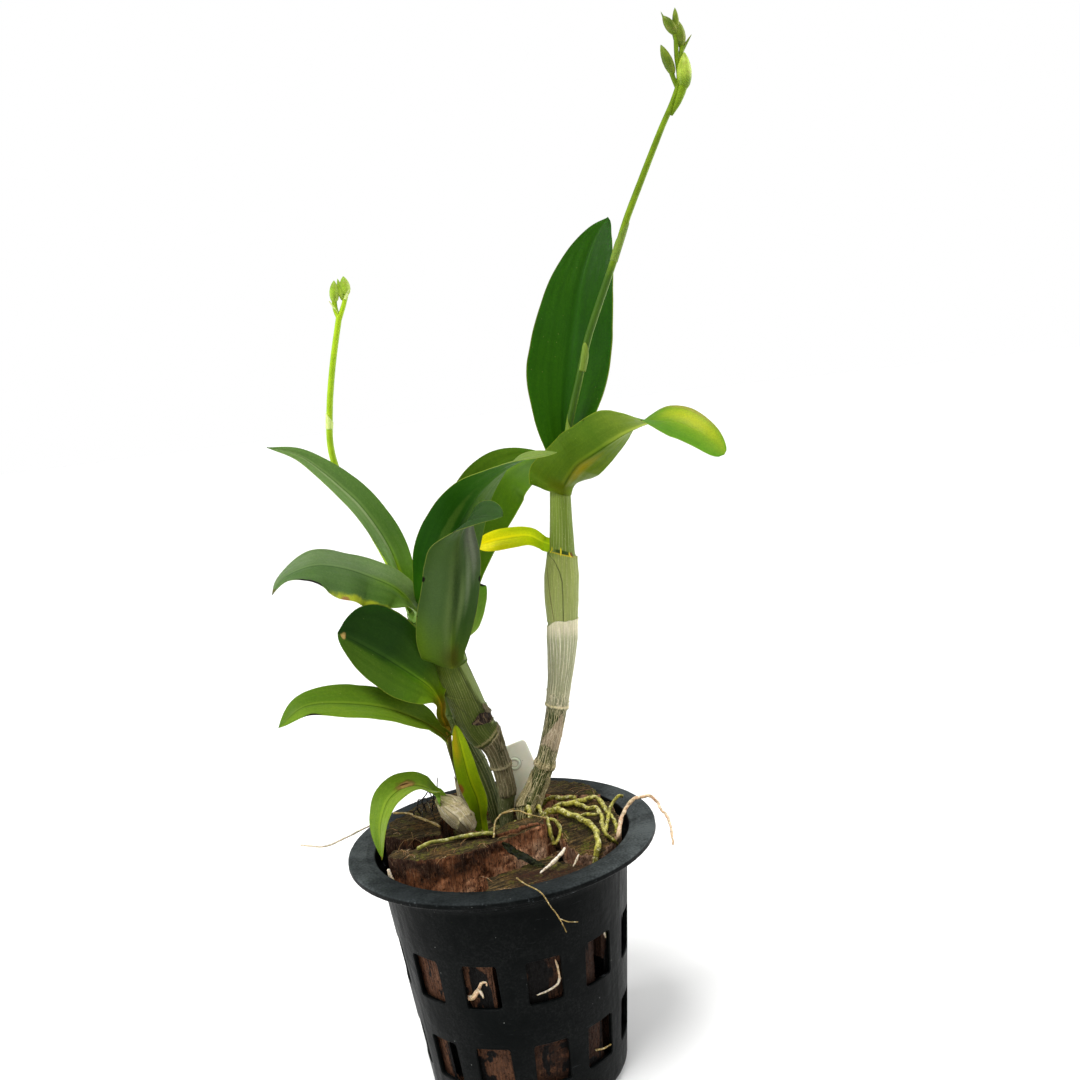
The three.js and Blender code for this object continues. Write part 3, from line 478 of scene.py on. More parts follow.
# spine, facing and fold (in degrees) run from foot to tip; a pair is for the blade's two halves. root is
# where the foot comes from, and clasp how it holds the stem: the stem's radius, how far round it the two
# halves reach in degrees, the shares of the blade over which the foot opens, flattens and turns to the
# blade's own way, and where that starts if not at 0
LEAVES = {
    "leaf_tall_upright": dict(
        spine=[(33.5, 16, 191.5), (35.4, 17, 207), (39.3, 21, 225), (42.5, 25, 237.5), (45.5, 28, 248.5),
               (49.5, 31, 258.5), (53.5, 33, 265.5), (57.5, 34, 270)],
        facing=[(-0.1, -1, 0.1), (-0.1, -1, 0.3), (-0.2, -1, 0.4)],
        width=[27.5, 28], base=0.22, belly=0.38, blunt=[0.95, 0.6], fold=[45, 20, 14, 8], ripple=0.5,
        root=[(32.2, 17.0, 187.0)], clasp=(3.9, 70, 0.1, 0.1, 0.1)),
    "leaf_tall_front": dict(
        spine=[(32, 9.6, 186), (34.5, 3.5, 190.4), (37.5, -3, 194.2), (41.5, -9, 197), (47.5, -15, 200.7),
               (53.5, -20, 203.8), (59.5, -25, 205.6), (65.5, -29, 204.4), (71.5, -33, 200.3),
               (76.2, -35.5, 194.7)],
        facing=[(0, 1, 0.4), (0.45, 0.75, 0.45), (0.5, 0.45, 0.8), (0.3, -0.2, 0.9), (0.25, -0.8, 0.6),
                (0.3, -0.8, 0.5)],
        width=[15.5, 21], base=[0.4, 1.22], belly=[0.16, 0.2], blunt=[0.4, 0.38], fold=[30, 20, 33, 14, 8],
        ripple=0.5, root=[(31.3, 9.7, 184.3)], clasp=(3.9, 88, [0.12, 0.045], [0.05, 0.012], 0.05, -0.03)),
    "leaf_tall_yellow": dict(
        spine=[(24.3, 11.5, 169.2), (20, 10.5, 172), (13.3, 9.5, 172.4), (3.2, 9.5, 171.4)],
        facing=[(0.1, -1, 0.4), (0, -1, 0.5)],
        width=7.2, base=0.62, belly=0.62, blunt=0.42, fold=[20, 10],
        root=[(28.2, 12.2, 167.6)], clasp=(60, 2.3, 0.3, 0.05, 0.05)),
    "leaf_mid_front": dict(
        spine=[(-9, 0.8, 136.8), (-7, -4, 148.5), (-4.3, -8, 158.8), (-2.4, -12, 168.6), (-0.6, -17, 177.5),
               (3, -22, 182.8), (8.5, -27, 185), (13.5, -31, 184.5)],
        facing=[(0, 1, 0.2), (-0.1, 0.95, 0.3), (-0.25, 0.8, 0.5), (-0.6, 0.1, 0.8), (-0.4, -0.5, 0.75)],
        width=[17, 22.5], base=[0.3, 0.95], belly=[0.42, 0.22], blunt=[0.5, 0.8], fold=[10, 18, 12, 8],
        ripple=0.6, root=[(-8.9, 1.5, 134.8)], clasp=(4.9, 80, [0.12, 0.15], [0.06, 0.04], 0.05, -0.03)),
    "leaf_mid_back_left": dict(
        spine=[(-13.6, 5.6, 142), (-13, 4.4, 153.2), (-8.5, 2.5, 166.5), (-3.4, -0.5, 176.5),
               (3.5, -3.5, 186.5), (10, -6.5, 192.3), (19.5, -11, 197.8), (31, -15, 199.3)],
        facing=[(0.3, 0.9, 0), (0.2, 0.9, 0.1), (-0.1, 0.8, 0.5), (-0.45, 0.35, 0.8), (-0.4, -0.2, 0.9)],
        width=[22, 21], base=0.4, belly=0.3, blunt=0.8, fold=[40, 20, 14, 8], ripple=0.5,
        root=[(-13.6, 6.6, 133)], root_facing=(1, 0.3, 0.1), clasp=(5.2, 75, 0.12, 0.12, 0.16)),
    "leaf_mid_back_right": dict(
        spine=[(-9.5, 13, 139), (-7.2, 16, 152.6), (-3.1, 19, 167.7), (4, 22, 181.7), (13, 23.5, 192),
               (27, 24, 197.3)],
        facing=[(0.2, -1, 0.2), (0.3, -0.9, 0.4), (0.3, -0.8, 0.6)],
        width=[22, 25], base=[0.3, 0.1], belly=[0.55, 0.78], blunt=[0.8, 0.5], fold=[35, 18, 10],
        root=[(-8.8, 11.2, 134)], root_facing=(0, -1, 0.1), clasp=(5.2, 58, 0.14, 0.14, 0.1)),
    "leaf_mid_cut": dict(
        spine=[(-5.3, 7.2, 139.8), (-2.7, 8.4, 144.5), (0.1, 9.9, 150.6), (2.3, 11.4, 159)],
        facing=[(-0.6, -0.8, 0.2), (-0.5, -0.9, 0.3)],
        width=9.4, base=0.6, belly=0.5, blunt=0.15, fold=[25, 15],
        root=[(-4.6, 7.9, 135.5)], root_facing=(-1, -0.2, 0), clasp=(5.4, 40, 0.3, 0.3, 0.4)),
    "leaf_left_upper": dict(
        spine=[(-22, 21, 152.5), (-25.2, 18.5, 171.7), (-32, 14, 187.5), (-37, 12, 194.5), (-42.5, 10, 201),
               (-48.5, 8, 206.5), (-57, 5, 210)],
        facing=[(0.6, -0.8, 0.2), (0.5, -0.8, 0.4), (0.3, -0.8, 0.6)],
        width=[11, 12], base=0.5, belly=0.4, blunt=[1, 1], fold=[40, 25, 20, 10],
        root=[(-21.2, 23.3, 145)], clasp=(2.8, 95, 0.1, 0.12, 0.1)),
    "leaf_left_mid": dict(
        spine=[(-20, 14, 153.8), (-24.6, 10.5, 160.8), (-31.7, 6, 166.2), (-38, -1, 170.7),
               (-44.4, -8, 173.5), (-49.4, -13, 173.4), (-53.6, -17, 171.8), (-56.2, -20, 168.2)],
        facing=[(0, -0.6, 0.8), (-0.1, -0.8, 0.6), (-0.1, -0.8, 0.6), (-0.4, -0.4, 0.6)],
        width=[21, 16.5], base=0.3, belly=0.45, blunt=[1, 0.7], fold=[20, -12, -12, -5], ripple=0.6,
        root=[(-19.5, 19.2, 146.5)], clasp=(2.9, 80, 0.12, 0.14, 0.1)),
    "leaf_left_round": dict(
        spine=[(-14.8, 8.8, 122), (-17.3, 6.5, 128.1), (-21.6, 3.7, 133.3), (-28.8, -1, 141),
               (-36.1, -4.5, 147.7), (-41.2, -8, 152.3)],
        facing=[(0, -0.9, 0.4), (0, -0.9, 0.5), (0.1, -0.9, 0.5)],
        width=[19, 28.5], base=[0.12, 0.1], belly=[0.45, 0.74], blunt=[0.6, 0.5], fold=[20, 10, 6],
        root=[(-14.2, 13.2, 111.5), (-15.2, 11.4, 117)], clasp=(1.5, 78, 0.16, 0.22, 0.1)),
    "leaf_left_lowest": dict(
        spine=[(-16.5, 10, 112.2), (-20.2, 6.6, 116.8), (-29.4, -1.8, 124.8), (-41, -13, 131.5),
               (-52, -21, 134), (-59, -25, 129.8)],
        facing=[(0, -0.8, 0.6), (0, -0.6, 0.8), (-0.2, -0.6, 0.8)],
        width=15.6, base=0.16, belly=0.55, blunt=0.8, fold=[40, 8, 4],
        root=[(-14.6, 12.4, 109)], clasp=(1.7, 90, 0.14, 0.2, 0.1)),
    "leaf_low_arch": dict(
        spine=[(-19.6, 4, 93.3), (-21.4, 0, 97.2), (-25.1, -4, 100.3), (-29, -8, 101), (-32.6, -11, 99),
               (-35, -13, 94.5), (-36.3, -13.5, 89), (-36.8, -13, 81)],
        facing=[(0.3, -0.5, 0.8), (-0.1, -0.5, 0.9), (-0.7, -0.6, 0.4), (-0.8, -0.6, 0)],
        width=12, base=0.3, belly=0.5, blunt=0.9, fold=[30, 15, 10],
        root=[(-18.4, 5.0, 90)], clasp=(2.2, 75, 0.14, 0.2, 0.1)),
    "leaf_shoot": dict(
        spine=[(-7, 8.5, 81.5), (-7, 6, 89.5), (-8.5, 4, 97), (-9.5, 3, 106), (-10.5, 3, 116)],
        facing=[(0.1, -1, 0.1), (0, -1, 0.1), (0, -1, 0.1)],
        width=7.5, base=0.45, belly=0.4, blunt=0.6, fold=[25, 15, 10],
        root=[(-7, 9, 77)], clasp=(2.4, 60, 0.2, 0.3, 0.1)),
}


def pair(value):
    """One number, or two for the halves of a blade."""
    return value if isinstance(value, list) else [value, value]


def blade_shape(u, base, belly, blunt):
    """A half's width as a share of its widest: base at the foot, 1 at belly, a round tip if blunt is low."""
    opening = base + (1 - base) * np.sin(math.pi / 2 * np.clip(u / belly, 0, 1)) ** 0.8
    beyond = np.clip((u - belly) / (1 - belly), 0, 1)
    return np.where(u < belly, opening, (1 - beyond**2) ** blunt)


def leaf_mesh(leaf, seed):
    """The blade as two skins that close at the margins; its foot clasps the stem and narrows to it."""
    radius, wrap, opens, flattens, turns, *first = leaf["clasp"]
    curve = Path([*leaf["root"], *leaf["spine"]])
    start = curve.reach[Path.STEPS * len(leaf["root"])]
    reach = np.concatenate([np.arange(0, start, 0.8), np.arange(start, curve.length - 6, 0.85),
                            np.linspace(curve.length - 6, curve.length, 16)])
    u = (reach - start) / (curve.length - start)
    along = curve.along(reach / curve.length)
    centre = curve.at(reach / curve.length)
    inside, past = np.clip(u, 0, 1), u - (first[0] if first else 0.0)
    up = spread(leaf["facing"], inside)
    turned = ease(u, 0, turns)[:, None]
    up = up * turned + np.array(leaf.get("root_facing", leaf["facing"][0])) * (1 - turned)
    up = unit(up - along * (up * along).sum(-1, keepdims=True))
    across = np.cross(along, up)
    lanes = np.sin(np.linspace(-1, 1, 33) * math.pi / 2 * 0.82) / math.sin(math.pi / 2 * 0.82)
    halves = []
    outlines = zip(*(pair(leaf[key]) for key in ("width", "base", "belly", "blunt")))
    for side, (whole, base, belly, blunt) in enumerate(outlines):
        half = np.maximum(whole / 2 * blade_shape(inside, base, belly, blunt), 0.1)
        opened = np.sqrt(1 - (1 - np.clip(past / pair(opens)[side], 0, 1)) ** 2)
        halves.append(radius * math.radians(wrap) * (1 - opened) + half * opened)
    half = np.where(lanes[None, :] < 0, halves[0][:, None], halves[1][:, None])
    half = half * (1 + 0.018 * noise2(u[:, None] * 9, np.sign(lanes)[None, :], seed, 2))
    lateral = half * lanes
    gone = [ease(past, 0, share)[:, None] for share in pair(flattens)]
    bend = (1 - np.where(lanes[None, :] < 0, gone[0], gone[1])) / radius
    free = 1 - bend * radius
    angle = np.radians(spread(leaf["fold"], inside))[:, None]
    wave = leaf.get("ripple", 0.0) * np.sin(2 * TAU * inside)[:, None] * lanes**2 * np.sign(lanes)
    lift = half * np.abs(lanes) ** 1.3 * np.sin(angle) + wave
    sway = 0.4 * noise2(u[:, None] * curve.length / 13, lanes[None, :] * 1.2, seed + 5, 2)
    lift = (lift + sway * ease(u, 0.05, 0.3)[:, None] * (0.3 + 0.7 * np.abs(lanes))) * free
    wrapped = lateral * bend
    lift = lift + lateral * np.tan(wrapped / 2) * np.sinc(wrapped / math.pi)
    sideways = lateral * np.sinc(wrapped / math.pi) * (1 - free * (1 - np.cos(angle)))
    middle = centre[:, None] + across[:, None] * sideways[..., None] + up[:, None] * lift[..., None]
    normal = np.cross(np.gradient(middle, axis=1), np.gradient(middle, axis=0))
    normal = unit(normal + up[:, None] * 1e-4)
    keen = ease(u, 1.0, 0.8)[:, None]
    grown = ease(u * curve.length, -1.0, 5.0)[:, None]
    off = np.abs(lanes)
    thick = (0.26 + 0.14 * (1 - ease(u, 0, 0.3))[:, None]) * (1 - 0.72 * off**4) * (0.4 + 0.6 * keen)
    thick = thick * (0.3 + 0.7 * grown)
    vein = 0.05 * np.cos(lateral * TAU / 2.3) * np.minimum(1, np.abs(lateral) / 2) * keen * (1 - off**3)
    vein = vein * grown
    groove = 0.3 * np.exp(-((lateral / 0.7) ** 2)) * keen * grown - vein
    keel = (0.42 - 0.2 * inside[:, None]) * np.exp(-((lateral / 0.8) ** 2)) * keen * grown + vein
    upper = middle + normal * (thick - groove)[..., None]
    lower = middle - normal * (thick + keel)[..., None]
    shape = Shape()
    places = u[:, None], (lanes[None, :] + 1) / 2
    top = shape.grid(upper, *places, paint=0)
    bottom = shape.grid(lower, *places, paint=1, flip=True)

    def place(edge, i):
        return ((u[i], 0.0), (u[i], 1.0), (u[0], 0.5), (1.0, 0.5))[edge]

    shape.seam(margins(top, bottom), place)
    return shape, curve.length - start


# upper and lower colours run from base to tip; marks are (face, along, across, half-length,
# half-width, colour, ragged), with across from 0 to 1 and face 0 upper, 1 lower, 2 both
LEAF_LOOKS = {
    "leaf_tall_upright": dict(
        upper=[(0, (64, 106, 14)), (0.12, (48, 98, 10)), (0.5, (23, 64, 3)), (1, (34, 73, 7))],
        lower=[(0, (92, 128, 48)), (1, (70, 118, 40))], upper_halves=[(36, 79, 6), (24, 62, 4)],
        marks=[(0, 0.3, 0.5, 0.5, 0.07, (30, 74, 6), 0.3)]),
    "leaf_tall_front": dict(
        upper=[(0, (83, 121, 33)), (0.75, (78, 124, 39)), (1, (85, 131, 36))],
        lower=[(0, (78, 97, 8)), (0.12, (75, 97, 16)), (0.4, (76, 104, 26)), (0.7, (168, 192, 93)),
               (1, (135, 167, 45))],
        lower_halves=[(86, 109, 19), (68, 100, 26)], crease=True,
        marks=[(0, 0.88, 0.3, 0.2, 0.34, (122, 154, 48), 0.5, 0.8),
               (0, 0.83, 0.26, 0.1, 0.17, (162, 174, 46), 0.5, 0.9),
               (0, 0.8, 0.03, 0.12, 0.05, (140, 140, 76), 0.5, 0.6),
               (1, 0.0, 0.5, 0.045, 0.22, (74, 90, 6), 0.3, 0.5),
               (1, 0.2, 0.4, 0.12, 0.08, (130, 124, 14), 0.4, 0.8)]),
    "leaf_tall_yellow": dict(
        upper=[(0, (134, 166, 16)), (0.25, (178, 196, 12)), (1, (206, 200, 10))],
        lower=[(0, (150, 176, 30)), (1, (200, 198, 30))],
        marks=[(2, 0.3, 0.9, 0.3, 0.1, (150, 176, 10), 0.4, 0.8)], keel=0.3),
    "leaf_mid_front": dict(
        upper=[(0, (54, 83, 19)), (0.7, (31, 57, 21)), (1, (41, 68, 27))],
        lower=[(0, (91, 110, 10)), (0.12, (74, 102, 12)), (0.3, (52, 74, 19)), (1, (45, 66, 24))],
        lower_halves=[(40, 66, 30), (54, 80, 38)], gloss_and_sheen=0.012,
        # the grey marks on its lower side paint a sheen of reflected sky
        marks=[(1, 0.66, 0.16, 0.17, 0.15, (80, 84, 76), 0.3, 0.7),
               (1, 0.3, 0.2, 0.16, 0.16, (36, 66, 10), 0.3, 0.9),
               (1, 0.03, 0.42, 0.07, 0.2, (60, 66, 8), 0.3, 0.7),
               (1, 0.32, 0.56, 0.22, 0.07, (84, 106, 56), 0.3, 0.9),
               (1, 0.08, 0.85, 0.12, 0.16, (86, 118, 14), 0.3, 0.9),
               (1, 0.4, 0.5, 0.2, 0.06, (42, 64, 28), 0.3, 0.9),
               (1, 0.6, 0.16, 0.13, 0.05, (100, 112, 94), 0.3, 0.9),
               (1, 0.45, 0.27, 0.13, 0.05, (92, 110, 80), 0.3, 0.9),
               (1, 0.32, 0.38, 0.12, 0.05, (84, 106, 60), 0.3, 0.9),
               (1, 0.4, 0.78, 0.3, 0.14, (66, 92, 48), 0.3, 0.9),
               (2, 0.45, 0.99, 0.014, 0.03, (20, 16, 10), 0.6),
               (2, 0.42, 0.01, 0.014, 0.03, (20, 16, 10), 0.6)]),
    "leaf_mid_back_left": dict(
        upper=[(0, (70, 112, 40)), (1, (107, 129, 75))],
        # its lower side is painted dark with shade, with one half lighter from a painted glare
        lower=[(0, (96, 126, 14)), (0.1, (50, 94, 12)), (0.3, (22, 64, 7)), (0.6, (33, 76, 13)),
               (1, (84, 124, 62))],
        lower_halves=[(78, 108, 58), (34, 82, 14)],
        marks=[(1, 0.42, 0.62, 0.2, 0.06, (66, 102, 40), 0.5)]),
    "leaf_mid_back_right": dict(
        upper=[(0, (70, 94, 10)), (0.5, (50, 80, 7)), (1, (75, 112, 19))],
        lower=[(0, (100, 140, 56)), (1, (88, 132, 50))], upper_halves=[(62, 90, 17), (57, 91, 11)], marks=[]),
    "leaf_mid_cut": dict(
        upper=[(0, (120, 146, 80)), (1, (92, 142, 50))], lower=[(0, (124, 150, 84)), (1, (104, 146, 64))],
        marks=[(2, 1.0, 0.5, 0.035, 0.7, (30, 22, 16), 0.4)]),
    "leaf_left_upper": dict(
        upper=[(0, (133, 175, 9)), (0.14, (119, 173, 23)), (0.35, (86, 127, 49)), (1, (95, 121, 72))],
        lower=[(0, (104, 140, 66)), (1, (92, 130, 66))], upper_halves=[(95, 127, 66), (76, 112, 44)],
        gloss_and_sheen=0.04, marks=[(0, 0.05, 0.5, 0.16, 0.12, (140, 172, 24), 0.5),
                           # this pale grey mark paints a sheen of reflected sky
                           (0, 0.5, 0.42, 0.3, 0.05, (136, 156, 110), 0.5, 0.9)]),
    "leaf_left_mid": dict(
        upper=[(0, (99, 136, 5)), (0.14, (84, 122, 13)), (0.4, (77, 108, 53)), (1, (69, 97, 55))],
        lower=[(0, (110, 146, 60)), (1, (84, 116, 66))], upper_halves=[(73, 104, 51), (100, 123, 85)],
        gloss_and_sheen=0.04, marks=[(2, 0.4, 0.0, 0.22, 0.1, (164, 176, 44), 0.9),
                           (2, 0.52, 0.0, 0.03, 0.05, (150, 110, 70), 0.9),
                           (2, 0.985, 0.5, 0.02, 0.5, (84, 86, 48), 0.6),
                           (2, 0.79, 0.02, 0.07, 0.05, (30, 26, 24), 0.9)]),
    "leaf_left_round": dict(
        # its upper side is painted darker towards the tip and on one half with the shade of the leaves above
        # it
        upper=[(0, (150, 124, 26)), (0.1, (115, 147, 20)), (0.3, (69, 109, 22)), (0.6, (34, 63, 19)),
               (1, (29, 55, 19))],
        lower=[(0, (140, 136, 40)), (1, (80, 124, 50))], upper_halves=[(71, 102, 32), (17, 45, 7)],
        marks=[(2, 0.955, 0.46, 0.022, 0.1, (176, 148, 110), 1.0)]),
    "leaf_left_lowest": dict(
        upper=[(0, (101, 94, 16)), (0.1, (79, 96, 19)), (0.5, (80, 111, 30)), (1, (78, 107, 37))],
        lower=[(0, (120, 156, 60)), (1, (104, 146, 60))], upper_halves=[(96, 127, 39), (74, 106, 31)],
        marks=[(2, 0.84, 0.0, 0.04, 0.06, (26, 20, 14), 0.9)]),
    "leaf_low_arch": dict(
        upper=[(0, (115, 147, 57)), (0.2, (97, 125, 40)), (1, (93, 122, 36))],
        lower=[(0, (110, 150, 60)), (1, (92, 140, 56))], upper_halves=[(108, 132, 55), (88, 119, 32)],
        marks=[(0, 0.36, 0.56, 0.085, 0.15, (84, 62, 36), 1.4, 0.3),
               (0, 0.36, 0.57, 0.066, 0.09, (156, 128, 92), 1.4, 0.4),
               (0, 0.37, 0.6, 0.05, 0.025, (64, 40, 26), 1.4, 0.5),
               (2, 0.99, 0.5, 0.02, 0.5, (96, 84, 40), 0.6)]),
    "leaf_shoot": dict(
        upper=[(0, (100, 123, 19)), (0.3, (114, 139, 11)), (1, (112, 136, 7))],
        lower=[(0, (120, 150, 40)), (1, (126, 158, 30))], upper_halves=[(100, 129, 9), (119, 143, 15)],
        marks=[(2, 0.42, 0.04, 0.045, 0.12, (120, 76, 40), 1.2),
               (0, 0.84, 0.2, 0.16, 0.2, (150, 138, 14), 0.8, 0.8)]),
}


def leaf_look(name, stops, marks, length, width, underside, halves=None, gloss_and_sheen=0.0, crease=False, keel=1.0):
    """A leathery blade: faint parallel veins, a midrib, fine mottling and worn margins."""
    look = Look(name)
    lateral = look.sway(look.v, width)
    reach = look.times(look.u, length)
    flat = look.join(reach, lateral)
    veins = look.noise(flat, (0.02, 1.9, 1), 2, 0.5)
    bands = look.noise(flat, (0.012, 0.33, 1), 2)
    mottle = look.noise(look.where, 0.09, 4, 0.6)
    grain = look.noise(look.where, 2.4, 4, 0.75)
    dots = look.noise(look.where, 5.5, 2, 0.6)
    colour = look.ramp(look.u, *[(max(place, 0), rgb) for place, rgb in stops])
    if halves:  # the two halves of a blade that catch the light differently
        for side, rgb in enumerate(halves):
            part = look.ease(look.v, 0.49, 0.62 if side else 0.36)
            colour = look.mix(look.times(part, 0.6), colour, rgb)
    darker, lighter = look.tint(colour, 0.62, 0.7, 0.6), look.tint(colour, 1.42, 1.26, 1.5)
    colour = look.mix(look.ease(bands, 0.36, 0.66, 0.0, 0.55), colour, darker)
    colour = look.mix(look.ease(mottle, 0.42, 0.7, 0.0, 0.4), colour, lighter)
    colour = look.mix(look.ease(veins, 0.5, 0.7, 0.0, 0.3), colour, lighter)
    colour = look.mix(look.ease(grain, 0.35, 0.65, 0.0, 0.38), colour, darker)
    colour = look.mix(look.ease(dots, 0.56, 0.7, 0.0, 0.35), colour, lighter)
    speckle = look.noise(look.where, 1.15, 5, 0.85)
    colour = look.mix(look.ease(speckle, 0.42, 0.62, 0.0, 0.34), colour, darker)
    colour = look.mix(look.ease(speckle, 0.5, 0.36, 0.0, 0.26), colour, lighter)
    strand = look.size(look.math("SINE", look.times(lateral, TAU / 5.6)))
    strand = look.times(look.ease(strand, 0.0, 0.16, 1.0, 0.0), look.ease(look.size(lateral), 0.9, 1.6))
    colour = look.mix(look.times(strand, look.ease(bands, 0.4, 0.6, 0.15, 0.5)), colour, darker)
    off = look.size(lateral)
    rib_half = look.blend(look.u, 0.36, 0.12)
    rib = look.node("MapRange", off, look.times(rib_half, 0.4), rib_half, 1.0, 0.0,
                    interpolation_type="SMOOTHSTEP")
    rib = look.times(rib, look.ease(look.u, 1.0, 0.85), keel)
    if underside and not crease:
        colour = look.mix(look.times(rib, 0.5), colour, look.tint(colour, 1.9, 1.6, 2.2))
        # painted shade in a band beside the keel
        beside = look.times(look.band(lateral, -1.3, -0.4, 0.35), look.ease(look.u, 1.0, 0.8))
        colour = look.mix(look.times(beside, 0.5), colour, darker)
    else:
        # painted shade along the midrib's groove, with a painted highlight in a band beside it
        colour = look.mix(look.times(rib, 0.85), colour, look.tint(colour, 0.4, 0.48, 0.4))
        beside = look.times(look.band(lateral, 0.3, 1.0, 0.3), look.ease(look.u, 1.0, 0.8))
        colour = look.mix(look.times(beside, 0.75), colour, lighter)
    edge = look.size(look.sway(look.v, 2.0))
    margin = look.ease(look.add(edge, look.sway(grain, 0.03)), 0.97, 0.995)
    colour = look.mix(look.times(margin, 0.6), colour, look.mix(0.35, colour, (190, 200, 90)))
    nicks = look.times(look.ease(look.noise(look.where, 0.5, 2), 0.71, 0.74), look.ease(edge, 0.94, 0.98))
    colour = look.mix(look.times(nicks, 0.85), colour, (52, 40, 22))
    flecks = look.specks(look.where, 0.33, 0.03, 0.05)
    colour = look.mix(look.times(flecks, 0.25), colour, (190, 200, 150))
    scars = nicks
    for _, along, across, half_long, half_wide, rgb, ragged, *more in marks:
        mark = look.spot(look.u, look.v, along, across, half_long, half_wide, more[0] if more else 0.35,
                         ragged, 0.5)
        worn = look.mix(look.ease(grain, 0.3, 0.7), rgb, tuple(int(c * 0.86) for c in rgb))
        colour = look.mix(mark if not more else look.times(mark, 0.9), colour, worn)
        if max(rgb) < 100 and max(rgb) - min(rgb) < 40:
            scars = look.most(scars, mark)
    # glossy blades keep more of their blue here, which paints a bluish sheen into the colour
    colour = look.tint(colour, 1.06, 1.0, 0.9 if gloss_and_sheen else 0.6)
    dust = look.noise(look.where, 0.3, 3, 0.6)
    low, high = (0.42, 0.56) if underside else (0.34 - gloss_and_sheen, 0.48 - gloss_and_sheen)
    rough = look.blend(scars, look.ease(dust, 0.3, 0.75, low, high), 0.85)
    normal = look.bump(look.add(look.times(veins, 0.5), look.times(bands, 0.5)), 0.1)
    normal = look.bump(look.add(grain, look.times(dots, 0.6)), 0.035, normal)
    normal = look.bump(look.times(scars, look.noise(look.where, 2.0, 3)), 0.5, normal)
    return look.finish(colour, rough, normal, 0.07 + 3 * gloss_and_sheen, 0.08, (0.4, 1.0, 0.1), WAXY)


def make_leaves():
    """Every blade with a look for its upper side and one for its lower."""
    for seed, (name, leaf) in enumerate(LEAVES.items()):
        shape, length = leaf_mesh(leaf, 40 + seed)
        details = LEAF_LOOKS[name]
        width = sum(pair(leaf["width"])) / 2
        looks = []
        for face, side in ((0, "upper"), (1, "lower")):
            marks = [mark for mark in details["marks"] if mark[0] in (face, 2)]
            looks.append(leaf_look(f"{name}_{side}", details[side], marks, length, width, face == 1,
                                   details.get(f"{side}_halves"), details.get("gloss_and_sheen", 0.0),
                                   details.get("crease", False), details.get("keel", 1.0)))
        young = name in ("leaf_tall_yellow", "leaf_shoot")
        shape.piece(f"{name}_blade", looks, "young_leaf" if young else "leaf", [name])


# ---- Canes ----

CANES = {  # the middle line, and (height, radius)
    "cane_tall": dict(
        axis=[(7.5, 13.5, 75), (9, 13, 82.5), (11.5, 12.5, 87.5), (15.5, 12, 95.5), (19, 12, 105),
              (22, 12, 115), (25.5, 12, 131.5), (27, 12, 142), (28, 12, 153.5), (29.5, 12.5, 165),
              (30.5, 13, 176), (31.5, 13.5, 187.5)],
        girth=[(75, 2.6), (80, 3.8), (83, 4.2), (88, 3.4), (96, 3.1), (116, 3.3), (124, 3.6), (131, 4.2),
               (138, 4.8), (143, 4.7), (150, 5.3), (158, 5.45), (163.5, 4.8), (166.5, 4.5), (176, 4.1),
               (187.5, 3.7)]),
    "cane_middle": dict(
        axis=[(1, 14, 75), (1.5, 14, 83), (2.5, 13.5, 89.5), (2, 13, 95.5), (1, 12, 102), (-0.5, 11, 107),
              (-3.5, 10, 112), (-5.5, 9, 118), (-7, 8, 124), (-8.5, 7, 130), (-10, 6, 137)],
        girth=[(75, 2.3), (83, 2.7), (89, 2.9), (96, 3.0), (103, 3.2), (106.5, 3.9), (110, 5.1), (118, 5.5),
               (125, 5.4), (131, 5.2), (137, 4.7)]),
    "cane_left": dict(
        axis=[(-2, 20.5, 75), (-3, 21, 82), (-4, 21.5, 87), (-6, 22, 94.5), (-9, 22.5, 102.5),
              (-12, 22.5, 110.5), (-13.5, 22.5, 118), (-17, 22, 134), (-21, 21, 150)],
        girth=[(75, 2.2), (84, 2.8), (95, 3.2), (106, 2.8), (120, 2.6), (135, 2.8), (150, 2.4)]),
    "cane_slender": dict(
        axis=[(-13, 25.5, 76), (-13, 25, 84), (-13.5, 23, 91), (-14, 20, 98.5), (-14.5, 16, 106),
              (-14.5, 12.5, 112)],
        girth=[(76, 1.5), (84, 1.9), (89, 1.6), (93, 1), (106, 1), (112, 1.4)]),
    "bulb_small": dict(
        axis=[(-10.5, 6.5, 79), (-11.5, 6, 82), (-13.5, 5.5, 85.5), (-16.5, 5, 89), (-19, 4.5, 91.5)],
        girth=[(79, 1.4), (81, 3), (84, 4.2), (88, 4.2), (90, 3.2), (91.5, 1.6)]),
}


